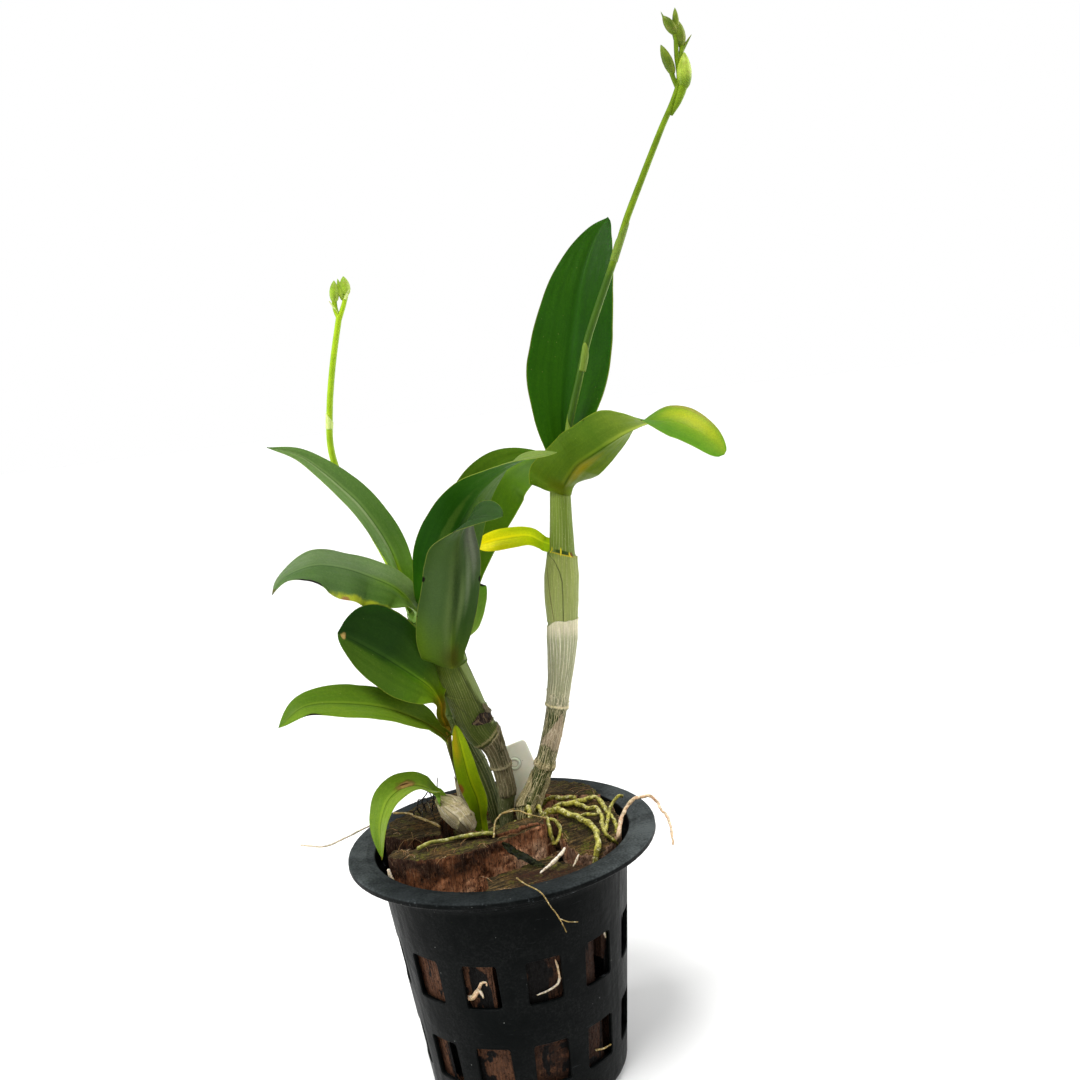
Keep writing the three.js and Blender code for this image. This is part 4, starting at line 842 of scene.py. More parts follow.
class Stem:
    """A cane's middle line and girth, read by height. Angles go from the front towards +X."""

    def __init__(self, axis, girth, relief):
        curve = Path(axis)
        u = np.linspace(0, 1, 400)
        self.line, self.ways = curve.at(u), curve.along(u)
        self.girth = np.array(girth, float)
        self.relief = relief

    def spot(self, z, angle, lift=0.0):
        """Points on the skin at heights z and angles, both arrays of one shape."""
        centre = np.stack([np.interp(z, self.line[:, 2], self.line[:, k]) for k in range(3)], -1)
        along = unit(np.stack([np.interp(z, self.line[:, 2], self.ways[:, k]) for k in range(3)], -1))
        front = unit(np.array([0.0, -1.0, 0.0]) - along * (-along[..., 1:2]))
        right = np.cross(along, front)
        radius = np.interp(z, self.girth[:, 0], self.girth[:, 1]) + self.relief(z, angle) + lift
        return centre + (front * np.cos(angle)[..., None]
                         + right * np.sin(angle)[..., None]) * radius[..., None]

    def skin(self, shape, bottom, top, step=0.6):
        """The whole cane as one closed skin whose top is a low dome."""
        sides = 72
        rows = int((top - bottom) / step) + 2
        z = np.linspace(bottom, top, rows)[:, None]
        angle = np.arange(sides)[None, :] / sides * TAU
        z, angle = np.broadcast_arrays(z, angle)
        points = self.spot(z, angle)
        heart = points[-1].mean(0)
        way = unit(heart - points[-8].mean(0))
        closing = []
        for k in range(1, 7):
            turn = k / 6 * math.pi / 2
            closing.append(heart + (points[-1] - heart) * max(math.cos(turn), 0.02)
                           + way * 1.2 * math.sin(turn))
        points = np.concatenate([points, np.array(closing)])
        heights = np.concatenate([z[:, 0], np.full(len(closing), top)])
        ids = shape.grid(points, np.arange(sides + 1)[None, :] / sides, heights[:, None] / 100, wrap=True)
        shape.face(ids[0, :-1][::-1], (0.5, bottom / 100))
        shape.face(ids[-1, :-1], (0.5, top / 100))

    def rag(self, shape, low, high, jags, seeds, **details):
        """A torn piece of sheath between two edges, each a list of (angle, height) corners."""
        edges = (flap(*corners, jag=jag, seed=seed) for corners, jag, seed in zip((low, high), jags, seeds))
        self.shell(shape, *edges, start=low[0][0], end=low[-1][0], **details)

    def shell(self, shape, low, high, start=0.0, end=TAU, lift=0.15, thick=0.12, flare=0.3, paint=0, seed=0,
              rag=0.25):
        """A thin sheath between the heights low(angle) and high(angle), open where it doesn't go round.

        lift holds it off the cane, flare curls its edges out and rag makes its open sides wander."""
        whole = end - start >= TAU - 1e-6
        sides = int(80 * (end - start) / TAU) + 4
        angle = start + np.arange(sides + (0 if whole else 1)) / sides * (end - start)
        bottom, top = low(angle), high(angle)
        rows = max(8, int((top - bottom).max() / 0.7))
        t = np.linspace(0, 1, rows)[:, None]
        z = bottom + (top - bottom) * t
        angles = np.broadcast_to(angle, z.shape)
        if not whole:
            shares = np.linspace(-1, 1, len(angle))[None, :]
            drift = noise2(z * 0.45, np.sign(shares) * 3.0, seed + 21, 2)
            angles = angles + rag * drift * np.abs(shares) ** 3
        rim = np.exp(-(1 - t) / 0.06) * (0.5 + 0.5 * noise2(angles * 2.5, z * 0.02, seed, 2))
        foot = np.exp(-t / 0.05) * (0.5 + 0.5 * noise2(angles * 3.5, z * 0.02, seed + 3, 2))
        crumple = 0.1 * noise2(angles * 4.5, z * 0.16, seed + 9, 3)
        rise = lift + flare * rim + flare * 0.7 * foot + crumple * (lift > 0.1)
        outer, inner = self.spot(z, angles, rise + thick), self.spot(z, angles, rise)
        count = len(angle) + (1 if whole else 0)
        u = np.linspace(start, end, count)[None, :] / TAU
        heights = np.hstack([z, z[:, :1]])[:, :count] / 100
        a = shape.grid(outer, u, heights, paint, wrap=whole)
        b = shape.grid(inner, u, heights, paint, wrap=whole, flip=True)
        edges = [(a[0], b[0]), (b[-1], a[-1])]
        if not whole:
            edges += [(b[:, 0], a[:, 0]), (a[:, -1], b[:, -1])]
        shape.seam(edges, (0.5, float(heights.mean())), paint)


def ribbed(seed, strength, rings=(), more=None):
    """The relief of a cane: fine ridges along it, rings of (height, size, width) and whatever more adds."""
    def relief(z, angle):
        flat_z, flat_angle = np.broadcast_arrays(z, angle)
        round_way = np.stack([np.cos(flat_angle), np.sin(flat_angle)], -1) * 26 / TAU * 1.6
        points = np.concatenate([round_way, flat_z[..., None] * 0.035], -1)
        slow = np.concatenate([round_way * 0.22, flat_z[..., None] * 0.05], -1)
        total = strength * noise(points, 1.0, seed, 2) + 0.16 * noise(slow, 1.0, seed + 2, 2)
        for height, size, width in rings:
            total = total + size * np.exp(-(((z - height) / width) ** 2))
        return total + more(z, angle) if more else total

    return relief


def torn(level, seed, size=1.2, tilt=0.0):
    """The height of a torn edge round a cane."""
    def height(angle):
        base = level + tilt * np.sin(angle)
        return base + size * around(angle, 3.1, seed, 3)

    return height


def cane_look(name, zones, marks=(), curves=(), rough=0.5, count=27, papery=0.0, nets=(), edges=()):
    """Skin of a cane. Angles are in degrees from the front, heights in millimetres.

    zones run up it: (height, colour, line colour, share of the lines, share of dark gaps).
    nets are (low, high, colour, share) spans of torn fibres; edges are (height, colour) frayed pale rims.
    curves are lines that cross it: ((angle, height) from the bottom up, half-width, colour, strength).
    marks are spots: (angle, height, half-angle, half-height, colour, ragged, soft, rise to one side)."""
    look = Look(name)
    height = look.times(look.v, 100.0)
    angle = look.math("WRAP", look.times(look.u, 360.0), 180.0, -180.0)
    round_x = look.math("COSINE", look.times(look.u, TAU))
    round_y = look.math("SINE", look.times(look.u, TAU))
    bottom, top = zones[0][0], zones[-1][0]
    blotch = look.noise(look.where, 0.35, 4, 0.6)
    grain = look.noise(look.where, 2.6, 4, 0.7)
    place = look.math("DIVIDE", look.less(look.add(height, look.sway(blotch, 3.0)), bottom), top - bottom)
    spots = [(z - bottom) / (top - bottom) for z, *_ in zones]
    colour, pale = (look.ramp(place, *zip(spots, [zone[k] for zone in zones])) for k in (1, 2))
    share, gaps = (look.ramp(place, *zip(spots, [grey(zone[k]) for zone in zones])) for k in (3, 4))

    def streaks(across, up, detail, rough):
        """Noise that closes round the cane, finer across it than up it."""
        place = look.join(look.times(round_x, across), look.times(round_y, across), look.times(height, up))
        return look.noise(place, 1.0, detail, rough)

    # lines along the cane: an even set that drifts, and a few wide and dark ones
    drift = streaks(0.9, 0.035, 3, 0.5)
    wave = look.math("SINE", look.add(look.times(look.u, TAU * count), look.times(drift, 13.0)))
    patchy = streaks(3.4, 0.1, 3, 0.6)
    lines = look.ease(look.add(wave, look.sway(patchy, 2.6)), 0.35, 0.95)
    fine = streaks(14.0, 0.12, 3, 0.6)
    broad = streaks(2.2, 0.05, 2, 0.5)
    darker, lighter = look.tint(colour, 0.55, 0.58, 0.5), look.tint(colour, 1.4, 1.34, 1.45)
    colour = look.mix(look.ease(broad, 0.4, 0.62, 0.0, 0.3), colour, darker)
    colour = look.mix(look.ease(fine, 0.5, 0.66, 0.0, 0.5), colour, lighter)
    colour = look.mix(look.times(lines, share), colour,
                      look.mix(look.ease(grain, 0.3, 0.7, 0.0, 0.35), pale, colour))
    holes = streaks(2.6, 0.15, 4, 0.62)
    open_here = look.times(look.ease(holes, 0.5, 0.56), gaps, look.less(1.0, look.times(lines, 0.85)))
    colour = look.mix(open_here, colour, (34, 48, 16))
    colour = look.mix(look.ease(grain, 0.3, 0.7, 0.0, 0.4), colour, look.tint(colour, 0.66, 0.66, 0.58))
    specks = look.specks(look.vector("MULTIPLY", look.where, (1.0, 1.0, 0.45)), 1.5, 0.12, 0.2)
    colour = look.mix(look.times(specks, 0.35), colour, pale)
    for low, high, rgb, share in nets:
        warp = look.sway(look.noise(look.where, 0.45, 3), 0.9)
        thin = []
        for size, long, width in ((2.6, 0.1, 0.05), (4.6, 0.2, 0.045)):
            spread_out = look.join(look.add(look.times(round_x, size), warp),
                                   look.add(look.times(round_y, size), warp),
                                   look.add(look.times(height, long), warp))
            rim = look.cells(spread_out, 1.0, "DISTANCE_TO_EDGE")
            thin.append(look.ease(rim, width * 0.3, width, 1.0, 0.0))
        web = look.most(thin[0], look.times(thin[1], 0.7))
        web = look.times(web, look.band(height, low, high, 1.2), look.ease(blotch, 0.3, 0.5, 0.35, 1.0))
        colour = look.mix(look.times(web, share), colour,
                          look.mix(look.ease(grain, 0.3, 0.7, 0.0, 0.3), rgb, colour))
    for level, rgb in edges:
        frayed = look.add(height, look.sway(fine, 1.6))
        colour = look.mix(look.times(look.band(frayed, level - 0.35, level + 0.35, 0.3), 0.75), colour, rgb)
    for points, half, rgb, strength in curves:
        low, high = points[0][1], points[-1][1]
        along = look.math("DIVIDE", look.less(height, low), high - low)
        bend = look.ramp(along, *[((z - low) / (high - low), grey(a / 360 + 0.5)) for a, z in points])
        off = look.size(look.less(angle, look.sway(bend, 360.0)))
        off = look.add(off, look.sway(fine, half))
        stroke = look.times(look.ease(off, half, half * 0.45), look.band(height, low, high, 0.4))
        colour = look.mix(look.times(stroke, strength), colour, rgb)
    for angle0, z0, half_angle, half_height, rgb, ragged, soft, *tilt in marks:
        aside = look.math("WRAP", look.less(angle, float(angle0)), 180.0, -180.0)
        level = look.add(height, look.times(round_y, tilt[0])) if tilt else height
        mark = look.spot(aside, level, 0.0, z0, half_angle, half_height, soft, ragged, 0.9)
        colour = look.mix(mark, colour, rgb)
    relief = look.add(look.times(lines, 1.0), look.times(fine, 0.6))
    normal = look.bump(relief, 0.2 + 0.15 * papery)
    normal = look.bump(look.noise(look.where, 3.4, 4, 0.65), 0.07, normal)
    shine = look.ease(look.noise(look.where, 0.8, 3), 0.3, 0.7, rough - 0.08, rough + 0.16)
    return look.finish(colour, shine, normal, 0.2, 0.06, (0.6, 1.0, 0.3), WAXY)


def flap(*corners, jag=0.5, seed=0):
    """A torn edge that runs through (angle, height) corners."""
    angles, heights = zip(*corners)

    def height(angle):
        return np.interp(angle, angles, heights) + jag * around(angle, 4.1, seed, 3)

    return height


def constant(value):
    return lambda angle: np.full(np.shape(angle), float(value))


# dry sheaths: colour, line colour, shares of lines and of dark gaps, roughness, count of the lines round,
# and the colour and share of the net of fibres
PAPERS = {
    "tan_sheath": ((128, 118, 78), (206, 188, 144), 0.7, 0.6, 0.66, 27, (220, 204, 160), 0.9),
    "grey_sheath": ((92, 84, 58), (168, 156, 122), 0.5, 0.5, 0.7, 19, (168, 156, 122), 0.4),
    "pink_sheath": ((164, 146, 116), (214, 196, 166), 0.6, 0.3, 0.7, 27, (222, 206, 178), 0.6),
    "pale_scale": ((176, 162, 124), (222, 212, 180), 0.5, 0.06, 0.74, 13, (226, 216, 188), 0.6),
    "black_bract": ((34, 24, 18), (104, 84, 62), 0.35, 0.0, 0.7, 27, (150, 126, 96), 0.5),
}


def make_canes():
    """Each cane as a skin with the dry sheaths that still hold on to it."""
    papers = {}
    for name, (colour, line, lines, gaps, rough, count, net, share) in PAPERS.items():
        edges = [(98.2, (160, 150, 114)), (108.4, (156, 146, 106))] if name == "grey_sheath" else ()
        papers[name] = cane_look(name, [(z, colour, line, lines, gaps) for z in (60, 200)], rough=rough,
                                 papery=1, count=count, nets=[(60, 200, net, share)], edges=edges)
    # the tall cane
    pink, tan, dry = 1, 2, 3  # where these sheaths are in the piece's looks, after its skin
    tall = Stem(**CANES["cane_tall"], relief=ribbed(
        3, 0.09, ((116, 0.25, 0.7), (96.7, 0.35, 0.8)),
        lambda z, a: -0.45 * ease(z, 165.3 + 0.9 * -np.sin(a), 165.9 + 0.9 * -np.sin(a))))
    zones = [
        (75, (90, 88, 44), (206, 188, 134), 0.6, 0.5), (83, (92, 92, 48), (208, 192, 142), 0.7, 0.6),
        (90, (60, 72, 26), (214, 198, 148), 0.5, 0.9), (96, (46, 60, 18), (200, 180, 128), 0.4, 0.9),
        (98, (84, 88, 46), (214, 198, 156), 0.6, 0.9), (108, (76, 84, 44), (220, 204, 166), 0.6, 1.0),
        (113, (50, 64, 24), (214, 198, 158), 0.5, 1.0), (117, (132, 134, 96), (214, 202, 168), 0.8, 0.2),
        (120, (142, 148, 114), (206, 198, 164), 0.7, 0.0), (140, (148, 158, 118), (214, 208, 180), 0.7, 0.0),
        (144, (142, 151, 86), (182, 184, 126), 0.3, 0.0), (164, (137, 148, 74), (178, 182, 116), 0.3, 0.0),
        (166, (98, 118, 40), (160, 168, 100), 0.5, 0.0), (183, (104, 124, 42), (156, 166, 92), 0.5, 0.0),
        (188, (84, 102, 18), (120, 136, 40), 0.4, 0.0),
    ]
    mouth = [(8, 166.0, 44, 0.62, (42, 64, 6), 0.2, 0.3, 1.1),
             (4, 165.3, 60, 0.17, (176, 156, 20), 0.1, 0.4, 1.1),
             (-52, 165.9, 3.2, 0.9, (206, 190, 30), 0.3, 0.4, 1.1),
             (-6, 166.1, 3.2, 1.2, (212, 196, 40), 0.3, 0.4, 1.1),
             (32, 165.8, 3.2, 0.8, (206, 184, 30), 0.3, 0.4, 1.1),
             (42, 165.9, 4.5, 0.75, (104, 56, 8), 0.4, 0.3, 1.1)]
    seams = [
        ([(2, 144.4), (3, 152.2), (1, 156.7), (-9, 160), (-29, 163.3), (-67, 165.8)], 2.6, (52, 60, 20),
         0.85),
        ([(-33, 144.5), (-40, 152), (-53, 159), (-72, 163)], 2.2, (84, 74, 34), 0.8),
        ([(62, 144.5), (64, 155), (66, 165)], 2.0, (70, 80, 34), 0.7),
        ([(-62, 168), (-66, 176), (-72, 182)], 1.8, (98, 84, 40), 0.7),
        ([(24, 168), (26, 178), (24, 187)], 7.0, (86, 104, 20), 0.6),
        ([(150, 144.5), (170, 165)], 3.0, (66, 76, 30), 0.7),
    ]
    dry_skin = cane_look("cane_tall_paper", [
        (115, (128, 130, 96), (214, 204, 168), 0.8, 0.2), (121, (150, 151, 116), (228, 222, 188), 0.9, 0.0),
        (138, (160, 162, 126), (232, 228, 198), 0.9, 0.0),
        (141.6, (206, 200, 166), (234, 226, 198), 0.9, 0.0),
        (145, (212, 206, 170), (236, 230, 204), 0.9, 0.0)], rough=0.6, papery=1,
        nets=[(114, 121, (226, 214, 180), 0.9)], edges=[(116.2, (222, 206, 160))])
    skin = cane_look("cane_tall_skin", zones, marks=[(-8, 84.3, 26, 1.2, (42, 58, 14), 0.3, 0.3), *mouth],
                     curves=seams, nets=[(76, 116, (214, 198, 154), 0.95)])
    shape = Shape()
    tall.skin(shape, 75, 187.5)
    # the sheath under the yellow ring, and the dry one below it
    lip = lambda a: 165.4 - 1.1 * np.sin(a) + 0.12 * np.sin(5 * a)
    tall.shell(shape, constant(143.5), lip, lift=0.02, thick=0.16, flare=0.2, seed=4)
    fold = lambda a: 144.5 - 2.8 * np.clip((-np.sin(a) - 0.45) / 0.55, 0, 1) + 0.35 * around(a, 5, 14, 2)
    tall.shell(shape, torn(116.6, 12, 0.9, -0.4), fold, lift=0.12, thick=0.12, flare=0.28, paint=dry, seed=6)
    tall.shell(shape, torn(115.6, 17, 0.8, -0.4),
               lambda a: 119.3 - 1.6 * np.sin(a) + 0.5 * around(a, 4, 19, 2), lift=0.2, thick=0.1, flare=0.4,
               paint=dry, seed=16)
    tall.rag(shape, [(-0.9, 104), (0.2, 102.6), (1.1, 102)],
             [(-0.9, 105.2), (-0.2, 109.5), (0.55, 114.2), (0.8, 113.2), (1.1, 107)], (0.8, 0.5), (22, 24),
             lift=0.14, flare=0.3, paint=pink, seed=7)
    tall.shell(shape, torn(95.9, 26, 0.5), torn(97.8, 28, 0.7), lift=0.16, thick=0.1, flare=0.35, paint=tan,
               seed=8)
    tall.rag(shape, [(0.1, 82), (1.0, 83.5), (2.0, 82)], [(0.1, 87), (0.8, 94.6), (1.5, 91), (2.0, 88)],
             (0.8, 0.8), (30, 31), lift=0.12, flare=0.35, paint=tan, seed=9, rag=0.4)
    tall.rag(shape, [(-2.2, 81), (-1.2, 82.2), (-0.45, 84.0)], [(-2.2, 90), (-1.2, 94.8), (-0.45, 89)],
             (0.8, 0.8), (33, 34), lift=0.12, flare=0.35, paint=tan, seed=10, rag=0.4)
    shape.piece("cane_tall_stem", [skin, papers["pink_sheath"], papers["tan_sheath"], dry_skin], "cane",
                ["cane_tall"])
    # the middle cane
    grey_dry, black = 1, 2
    rings = (89, 0.2, 0.8), (98, 0.3, 0.8), (109, 0.25, 0.8)
    middle = Stem(**CANES["cane_middle"], relief=ribbed(13, 0.1, rings))
    zones = [
        (75, (56, 64, 30), (134, 138, 96), 0.5, 0.5), (84, (70, 78, 38), (142, 144, 102), 0.5, 0.4),
        (93, (84, 84, 54), (156, 150, 114), 0.5, 0.4), (97, (92, 86, 58), (160, 150, 116), 0.6, 0.4),
        (107, (84, 82, 50), (154, 142, 104), 0.6, 0.4), (109, (64, 76, 22), (128, 132, 72), 0.4, 0.0),
        (118, (66, 78, 22), (128, 134, 72), 0.45, 0.0), (124, (70, 80, 24), (136, 142, 78), 0.5, 0.0),
        (131, (78, 92, 30), (146, 154, 90), 0.5, 0.0), (134, (66, 80, 14), (114, 126, 46), 0.35, 0.0),
        (137, (58, 74, 6), (84, 100, 16), 0.3, 0.0),
    ]
    skin = cane_look("cane_middle_skin", zones, count=45, marks=[(40, 89, 60, 3.0, (86, 92, 50), 0.8, 0.6)],
                     nets=[(76, 108, (170, 164, 124), 0.6)], edges=[(109.4, (150, 140, 96))], curves=[
        ([(2, 118.0), (-10, 121), (-34, 124.4), (-66, 127.2)], 3.2, (56, 62, 24), 0.8),
        ([(80, 112), (76, 120), (66, 128), (56, 136)], 26, (138, 154, 88), 0.85),
        ([(48, 112), (44, 120), (34, 129), (26, 136)], 2.4, (52, 58, 20), 0.8),
        ([(-36, 110), (-30, 118), (-24, 123)], 1.6, (66, 72, 30), 0.6),
    ])
    shape = Shape()
    middle.skin(shape, 75, 137)
    edge = lambda a: 122.5 + 4.6 * np.cos(a + 0.9) + 0.3 * np.sin(4 * a)
    middle.shell(shape, constant(108.8), edge, lift=0.05, thick=0.16, flare=0.15, seed=14)
    middle.shell(shape, torn(97.5, 42, 0.9), torn(108.6, 43, 1.0, 0.8), lift=0.12, flare=0.35, paint=grey_dry,
                 seed=15)
    middle.shell(shape, torn(88, 45, 1.3), torn(98.4, 46, 1.4), start=-1.0, end=3.4, lift=0.1, flare=0.35,
                 paint=grey_dry, seed=16, rag=0.5)
    middle.rag(shape, [(-0.05, 116.4), (0.35, 115.0), (0.8, 114.4), (1.15, 114.6)],
               [(-0.05, 116.9), (0.25, 118.4), (0.5, 118.9), (0.85, 117.6), (1.15, 116)], (0.6, 0.6),
               (48, 49), lift=0.35, thick=0.3, flare=0.9, paint=black, seed=17, rag=0.4)
    middle.rag(shape, [(0.7, 114.0), (1.1, 113.2), (1.6, 113.0)],
               [(0.7, 119.2), (1.0, 121.0), (1.3, 118.6), (1.6, 115.4)], (0.5, 0.7), (58, 59), lift=0.15,
               thick=0.2, flare=0.8, paint=grey_dry, seed=18, rag=0.4)
    spur = Path([(3.0, 8.6, 104), (3.3, 8.4, 108), (3.2, 8.6, 112.8)])
    steps = np.linspace(0, 1, 14)
    wrinkles = lambda reach, a: 0.12 * noise2(np.cos(a) * 2, reach, 50, 2)
    shape.tube(spur.at(steps), 0.75 * (1 - steps**1.5) + 0.05, 10, grey_dry, wrinkles)
    shape.piece("cane_middle_stem", [skin, papers["grey_sheath"], papers["black_bract"]], "cane",
                ["cane_middle"])
    # the canes behind
    rings = (96, 0.25, 0.8), (113, 0.2, 0.8), (131, 0.2, 0.8)
    left = Stem(**CANES["cane_left"], relief=ribbed(23, 0.08, rings))
    skin = cane_look("cane_left_skin", [
        (75, (56, 62, 26), (140, 138, 92), 0.5, 0.4), (90, (70, 80, 34), (160, 158, 110), 0.5, 0.4),
        (112, (78, 92, 38), (158, 158, 108), 0.5, 0.2), (116, (74, 96, 30), (140, 148, 84), 0.5, 0.0),
        (150, (84, 108, 36), (148, 160, 90), 0.5, 0.0)], count=17)
    shape = Shape()
    left.skin(shape, 75, 150)
    left.shell(shape, torn(97, 52, 0.8), torn(113.5, 53, 1.2), lift=0.12, flare=0.3, seed=24)
    left.shell(shape, torn(114.5, 55, 0.6), torn(131.5, 56, 1.0), lift=0.06, flare=0.2, seed=25)
    shape.piece("cane_left_stem", [skin, papers["grey_sheath"]], "cane", ["cane_left"])
    slender = Stem(**CANES["cane_slender"], relief=ribbed(33, 0.05))
    skin = cane_look("cane_slender_skin", [
        (76, (92, 84, 56), (176, 166, 132), 0.6, 0.4), (92, (80, 78, 44), (150, 142, 104), 0.5, 0.5),
        (96, (58, 62, 26), (116, 112, 70), 0.4, 0.4), (107, (98, 100, 24), (150, 146, 70), 0.4, 0.2),
        (112, (150, 120, 20), (180, 156, 60), 0.4, 0.0)], count=9)
    shape = Shape()
    slender.skin(shape, 76, 112)
    slender.shell(shape, torn(80, 62, 0.7), torn(92, 63, 1.5), lift=0.1, flare=0.3, paint=1, seed=34)
    shape.piece("cane_slender_stem", [skin, papers["pale_scale"]], "sheath", ["cane_slender"])
    # the small bulb in its dry scales

    def folds(z, a):
        places = np.stack([np.cos(a) * 1.5, np.sin(a) * 1.5, z * 0.12 + 0 * a], -1)
        return 0.75 * noise(places, 1.0, 47, 2) * np.clip((92 - z) / 4, 0, 1)

    bulb = Stem(**CANES["bulb_small"], relief=ribbed(43, 0.12, more=folds))
    skin = cane_look("bulb_small_skin", [
        (79, (100, 76, 42), (160, 132, 92), 0.4, 0.3), (82.5, (158, 138, 100), (210, 196, 160), 0.5, 0.1),
        (88, (174, 158, 120), (220, 208, 174), 0.5, 0.05), (92, (126, 124, 70), (184, 176, 126), 0.5, 0.0)],
        nets=[(80, 91, (224, 212, 180), 0.5)],
        marks=[(30, 81.4, 26, 1.0, (176, 96, 46), 0.8, 0.4), (-40, 80.6, 60, 1.2, (50, 62, 24), 0.8, 0.5)],
        rough=0.74, count=13, papery=1)
    shape = Shape()
    bulb.skin(shape, 79, 91.4, step=0.35)
    bulb.rag(shape, [(-1.5, 82), (-0.2, 81.2), (1.0, 82.6)],
             [(-1.5, 88.6), (-0.6, 91.6), (0.4, 90.2), (1.0, 87.5)], (0.5, 0.7), (72, 73), lift=0.2,
             flare=0.8, paint=1, seed=44, rag=0.5)
    bulb.rag(shape, [(0.7, 82.5), (2.0, 83), (4.6, 82.6)], [(0.7, 88), (1.6, 90.8), (3.2, 91), (4.6, 89)],
             (0.7, 0.6), (75, 76), lift=0.12, flare=0.6, paint=1, seed=45, rag=0.4)
    bulb.rag(shape, [(-0.7, 80.3), (0.5, 80.0), (1.3, 81)], [(-0.7, 83.5), (0.2, 86.4), (1.3, 84)],
             (0.4, 0.7), (77, 78), lift=0.4, flare=0.7, paint=1, seed=46, rag=0.4)
    shape.piece("bulb_small_scales", [skin, papers["pale_scale"]], "sheath", ["bulb_small"])


# ---- Flower spikes ----

BUD, BRACT, PALE_BUD, PALE_BRACT = range(1, 5)  # their places in a spike's list of looks; 0 is the stalk's


def spike_look(name, dark, pale, shade=None):
    """A smooth green stalk, paler on its lit side."""
    look = Look(name)
    fine = look.noise(look.where, (3.0, 3.0, 0.35), 3, 0.6)
    blotch = look.noise(look.where, 0.25, 3)
    colour = look.mix(look.ease(blotch, 0.35, 0.7), dark, pale)
    if shade:  # darker between these heights
        colour = look.mix(look.times(look.band(look.z, *shade, 4.0), 0.85), colour, (40, 74, 10))
    colour = look.mix(look.ease(fine, 0.45, 0.75, 0.0, 0.06), colour, look.tint(colour, 1.6, 1.45, 1.9))
    side = look.ease(look.outward()[0], 0.55, 0.95)
    colour = look.mix(look.times(side, 0.35), colour, (150, 176, 70))
    normal = look.bump(fine, 0.015)
    return look.finish(colour, look.ease(fine, 0.3, 0.7, 0.42, 0.5), normal, 0.2, 0.1, (0.5, 1.0, 0.2), WAXY)


def bud_look(name, dark, pale, lit, foot=None):
    """A bud with dark seams, paler on its lit side."""
    look = Look(name)
    grain = look.noise(look.where, 4.5, 3, 0.6)
    seam = look.noise(look.join(look.times(look.v, 9.0), look.times(look.u, 0.6)), 1.0, 1)
    fine = look.noise(look.where, 0.28, 2, 0.5)
    colour = look.mix(look.ease(fine, 0.3, 0.7), dark, pale)
    side = look.outward()[0]
    colour = look.mix(look.ease(side, 0.1, 0.9, 0.0, 0.7), colour, lit)
    if foot:  # greener below these heights
        colour = look.mix(look.ease(look.z, *foot), colour, (98, 124, 16))
    deeper = look.tint(colour, 0.5, 0.62, 0.4)
    colour = look.mix(look.ease(seam, 0.5, 0.72, 0.0, 0.5), colour, deeper)
    colour = look.mix(look.ease(grain, 0.4, 0.7, 0.0, 0.05), colour, deeper)
    blush = look.ease(look.noise(look.where, 0.5, 2), 0.56, 0.7, 0.0, 0.25)
    colour = look.mix(blush, colour, (130, 120, 56))
    rough = look.ease(grain, 0.3, 0.7, 0.4, 0.5)
    return look.finish(colour, rough, look.bump(fine, 0.03), 0.25, 0.15, (0.6, 1.0, 0.3), WAXY)


def bract_look(name, pale, dark):
    """A thin dry scale with lines along it."""
    look = Look(name)
    fine = look.noise(look.where, (3.5, 3.5, 0.4), 3, 0.6)
    colour = look.mix(look.ease(fine, 0.35, 0.7), pale, dark)
    return look.finish(colour, look.ease(fine, 0.3, 0.7, 0.45, 0.62), look.bump(fine, 0.1), 0.25, 0.1)


def bar(shape, points, radii, sides=16, paint=0, step=0.7, wobble=0.0, seed=0, wander=0.0, lumps=0.0):
    """A round bar with domed ends. wander moves its line, lumps its girth and wobble its skin."""
    curve = Path(points)
    rows = max(6, int(curve.length / step))
    u = np.linspace(0, 1, rows)
    reach = u * curve.length
    drift = np.stack([noise2(reach * 0.42, 5.0 * k, seed + 7, 2) for k in range(3)], -1)
    centres = curve.at(u) + wander * drift * np.minimum(1, reach / 4)[:, None]
    radius = spread(radii, u) * (1 + lumps * noise2(reach * 0.7, 0.0, seed + 11, 2))
    centres, radius = dome(centres, radius)

    def relief(reach, angle):
        reach, angle = np.broadcast_arrays(reach, angle)
        grid = np.stack([np.cos(angle) * 0.9, np.sin(angle) * 0.9, reach * 0.55], -1)
        return wobble * noise(grid, 1.0, seed, 3) * np.minimum(1, radius[:, None] / radius.max())

    shape.tube(centres, radius, sides, paint, relief if wobble else None)


def bud(shape, base, tip, width, paint=BUD):
    """A pointed bud with the seams of its sepals."""
    base, tip = np.array(base, float), np.array(tip, float)
    u = np.linspace(0, 1, 22)
    profile = np.interp(u, [0, 0.04, 0.14, 0.3, 0.5, 0.7, 0.86, 0.96, 1],
                        [0.1, 0.42, 0.76, 0.97, 1, 0.82, 0.5, 0.2, 0.03])
    centres = base + (tip - base) * u[:, None]

    def relief(reach, angle):
        seam = np.abs(np.cos(1.5 * (angle + reach * 0.06))) ** 0.35  # three sepals
        share = np.clip(reach / np.linalg.norm(tip - base), 0, 1)
        return -0.07 * width * (1 - seam) * np.sin(math.pi * share)

    shape.tube(centres, profile * width / 2, 24, paint, relief)


